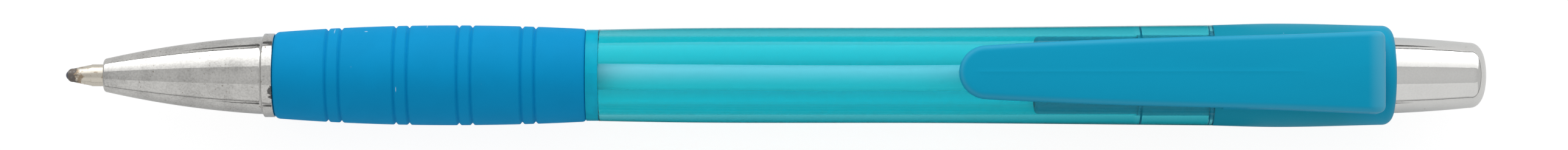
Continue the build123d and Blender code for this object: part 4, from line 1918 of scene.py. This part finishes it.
@dataclass
class Studio:
    """Pale floor, soft lamps on both sides, a grey room above and the camera straight over the pen."""

    at: Stations
    floor_size: float = 12.0
    floor_colour: Colour = (0.8, 0.8, 0.8, 1.0)
    floor_seen_colour: Colour = (0.2, 0.2, 0.2, 1.0)
    floor_cloud: Cloud = Cloud(0.4, 2.0)
    floor_cloud_shade: float = 0.99
    floor_roughness: float = 0.9
    floor_glow: float = 0.88
    floor_glow_mirrored: float = 0.02
    floor_glow_through: float = 0.09
    room_top: float = 0.62
    room_side: float = 0.54
    room_horizon: float = 0.05
    room_side_reach: Span = (0.12, 0.75)
    camera_height: float = 0.5
    camera_station: float = 0.87 * MM
    camera_across: float = 0.03 * MM
    camera_lean: float = math.radians(3)
    view_width: float = 161.0 * MM
    sensor: float = 36.0
    barrel_reach: Span = (-22.0 * MM, 50.0 * MM)

    def build(self) -> None:
        """Builds the floor, the lamps, the room and the camera."""
        self.floor()
        key = Softbox(
            "key",
            Side.CLIP_LEFT,
            upper_angle=math.radians(24),
            lower_angle=math.radians(86),
            radiance=2.4,
            upper_share=0.18,
            length=2.2,
        )
        fill = Softbox(
            "fill",
            Side.CLIP_RIGHT,
            upper_angle=math.radians(30),
            lower_angle=math.radians(89),
            radiance=0.2,
        )
        for lamp in (key, fill):
            lamp.build(self.at.axis)
        start, end = self.barrel_reach
        for flag in (
            Flag("flag_left", Side.CLIP_LEFT, near=32.0 * MM, far=900.0 * MM),
            Flag("flag_right", Side.CLIP_RIGHT, near=48.0 * MM, far=155.0 * MM),
            Flag("flag_barrel_left", Side.CLIP_LEFT, near=8.0 * MM, far=31.0 * MM, start=start, end=end),
            Flag("flag_barrel_right", Side.CLIP_RIGHT, near=5.5 * MM, far=40.0 * MM, start=start, end=end),
        ):
            flag.build()
        self.room()
        self.camera()
        bpy.context.scene.view_settings.view_transform = "Standard"

    def floor(self) -> None:
        """Lays the floor."""
        graph = Graph("pale_floor")
        tone = shaded(self.floor_colour, self.floor_cloud_shade)
        lit = graph.mix(graph.noise(self.floor_cloud), self.floor_colour, tone)
        path = graph.node("LightPath").outputs
        seen = path["Is Camera Ray"]
        glow = graph.times(seen, self.floor_glow)
        glow = graph.plus(glow, path["Is Glossy Ray"], self.floor_glow_mirrored)
        glow = graph.plus(glow, path["Is Transmission Ray"], self.floor_glow_through)
        material = graph.surface(
            {
                "Base Color": graph.mix(seen, lit, self.floor_seen_colour),
                "Roughness": self.floor_roughness,
                "Specular IOR Level": 0.0,
                "Emission Color": WHITE,
                "Emission Strength": glow,
            }
        )
        bm = bmesh.new()
        bmesh.ops.create_grid(bm, x_segments=1, y_segments=1, size=self.floor_size / 2)
        finished("floor", bm, material)

    def room(self) -> None:
        """Sets the grey room that lights the pen from above, white to the camera and through the barrel."""
        world = bpy.data.worlds.new("studio_room")
        bpy.context.scene.world = world
        world.use_nodes = True
        tree = world.node_tree
        tree.nodes.clear()
        output = tree.nodes.new("ShaderNodeOutputWorld")
        back = tree.nodes.new("ShaderNodeBackground")
        place = tree.nodes.new("ShaderNodeTexCoord")
        parts = tree.nodes.new("ShaderNodeSeparateXYZ")
        ramp = tree.nodes.new("ShaderNodeValToRGB")
        path = tree.nodes.new("ShaderNodeLightPath")
        seen = tree.nodes.new("ShaderNodeMath")
        seen.operation = "MAXIMUM"
        mix = tree.nodes.new("ShaderNodeMix")
        mix.data_type = "RGBA"
        tones = ramp.color_ramp.elements
        tones[0].color = shaded(WHITE, self.room_horizon)
        tones[1].color = shaded(WHITE, self.room_top)
        for height in self.room_side_reach:
            tones.new(height).color = shaded(WHITE, self.room_side)
        mix.inputs[MIX_OVER].default_value = WHITE
        for start, end in (
            (place.outputs["Generated"], parts.inputs[0]),
            (parts.outputs[2], ramp.inputs[0]),
            (path.outputs["Is Camera Ray"], seen.inputs[0]),
            (path.outputs["Is Transmission Ray"], seen.inputs[1]),
            (seen.outputs[0], mix.inputs[MIX_SHARE]),
            (ramp.outputs[0], mix.inputs[MIX_BASE]),
            (mix.outputs[MIX_RESULT], back.inputs[0]),
            (back.outputs[0], output.inputs[0]),
        ):
            tree.links.new(start, end)

    def camera(self) -> None:
        """Puts the camera over the pen, with its tip to the left, and leans it as the clip shows."""
        data = bpy.data.cameras.new("camera")
        data.sensor_width = self.sensor
        data.lens = self.sensor * self.camera_height / self.view_width
        camera = bpy.data.objects.new("camera", data)
        target = Matrix.Translation((self.camera_station, self.camera_across, self.at.axis))
        lean = Matrix.Rotation(self.camera_lean, 4, "X")
        camera.matrix_world = target @ lean @ Matrix.Translation((0.0, 0.0, self.camera_height))
        bpy.context.scene.collection.objects.link(camera)
        bpy.context.scene.camera = camera


def main() -> None:
    """Builds the pen and its studio, piece by piece."""
    logging.basicConfig(level=logging.INFO, format="%(name)s: %(message)s")
    at = Stations.from_frame()
    parts: list[Callable[[], None]] = [
        Studio(at).build,
        NoseCone(at).build,
        Grip(at).build,
        TintedBarrel(at).build,
        ClipCollar(at).build,
        PushButton(at).build,
        Latch().build,
        Refill(at).build,
        ReturnSpring(at).build,
    ]
    for build in parts:
        build()


if __name__ == "__main__":
    main()
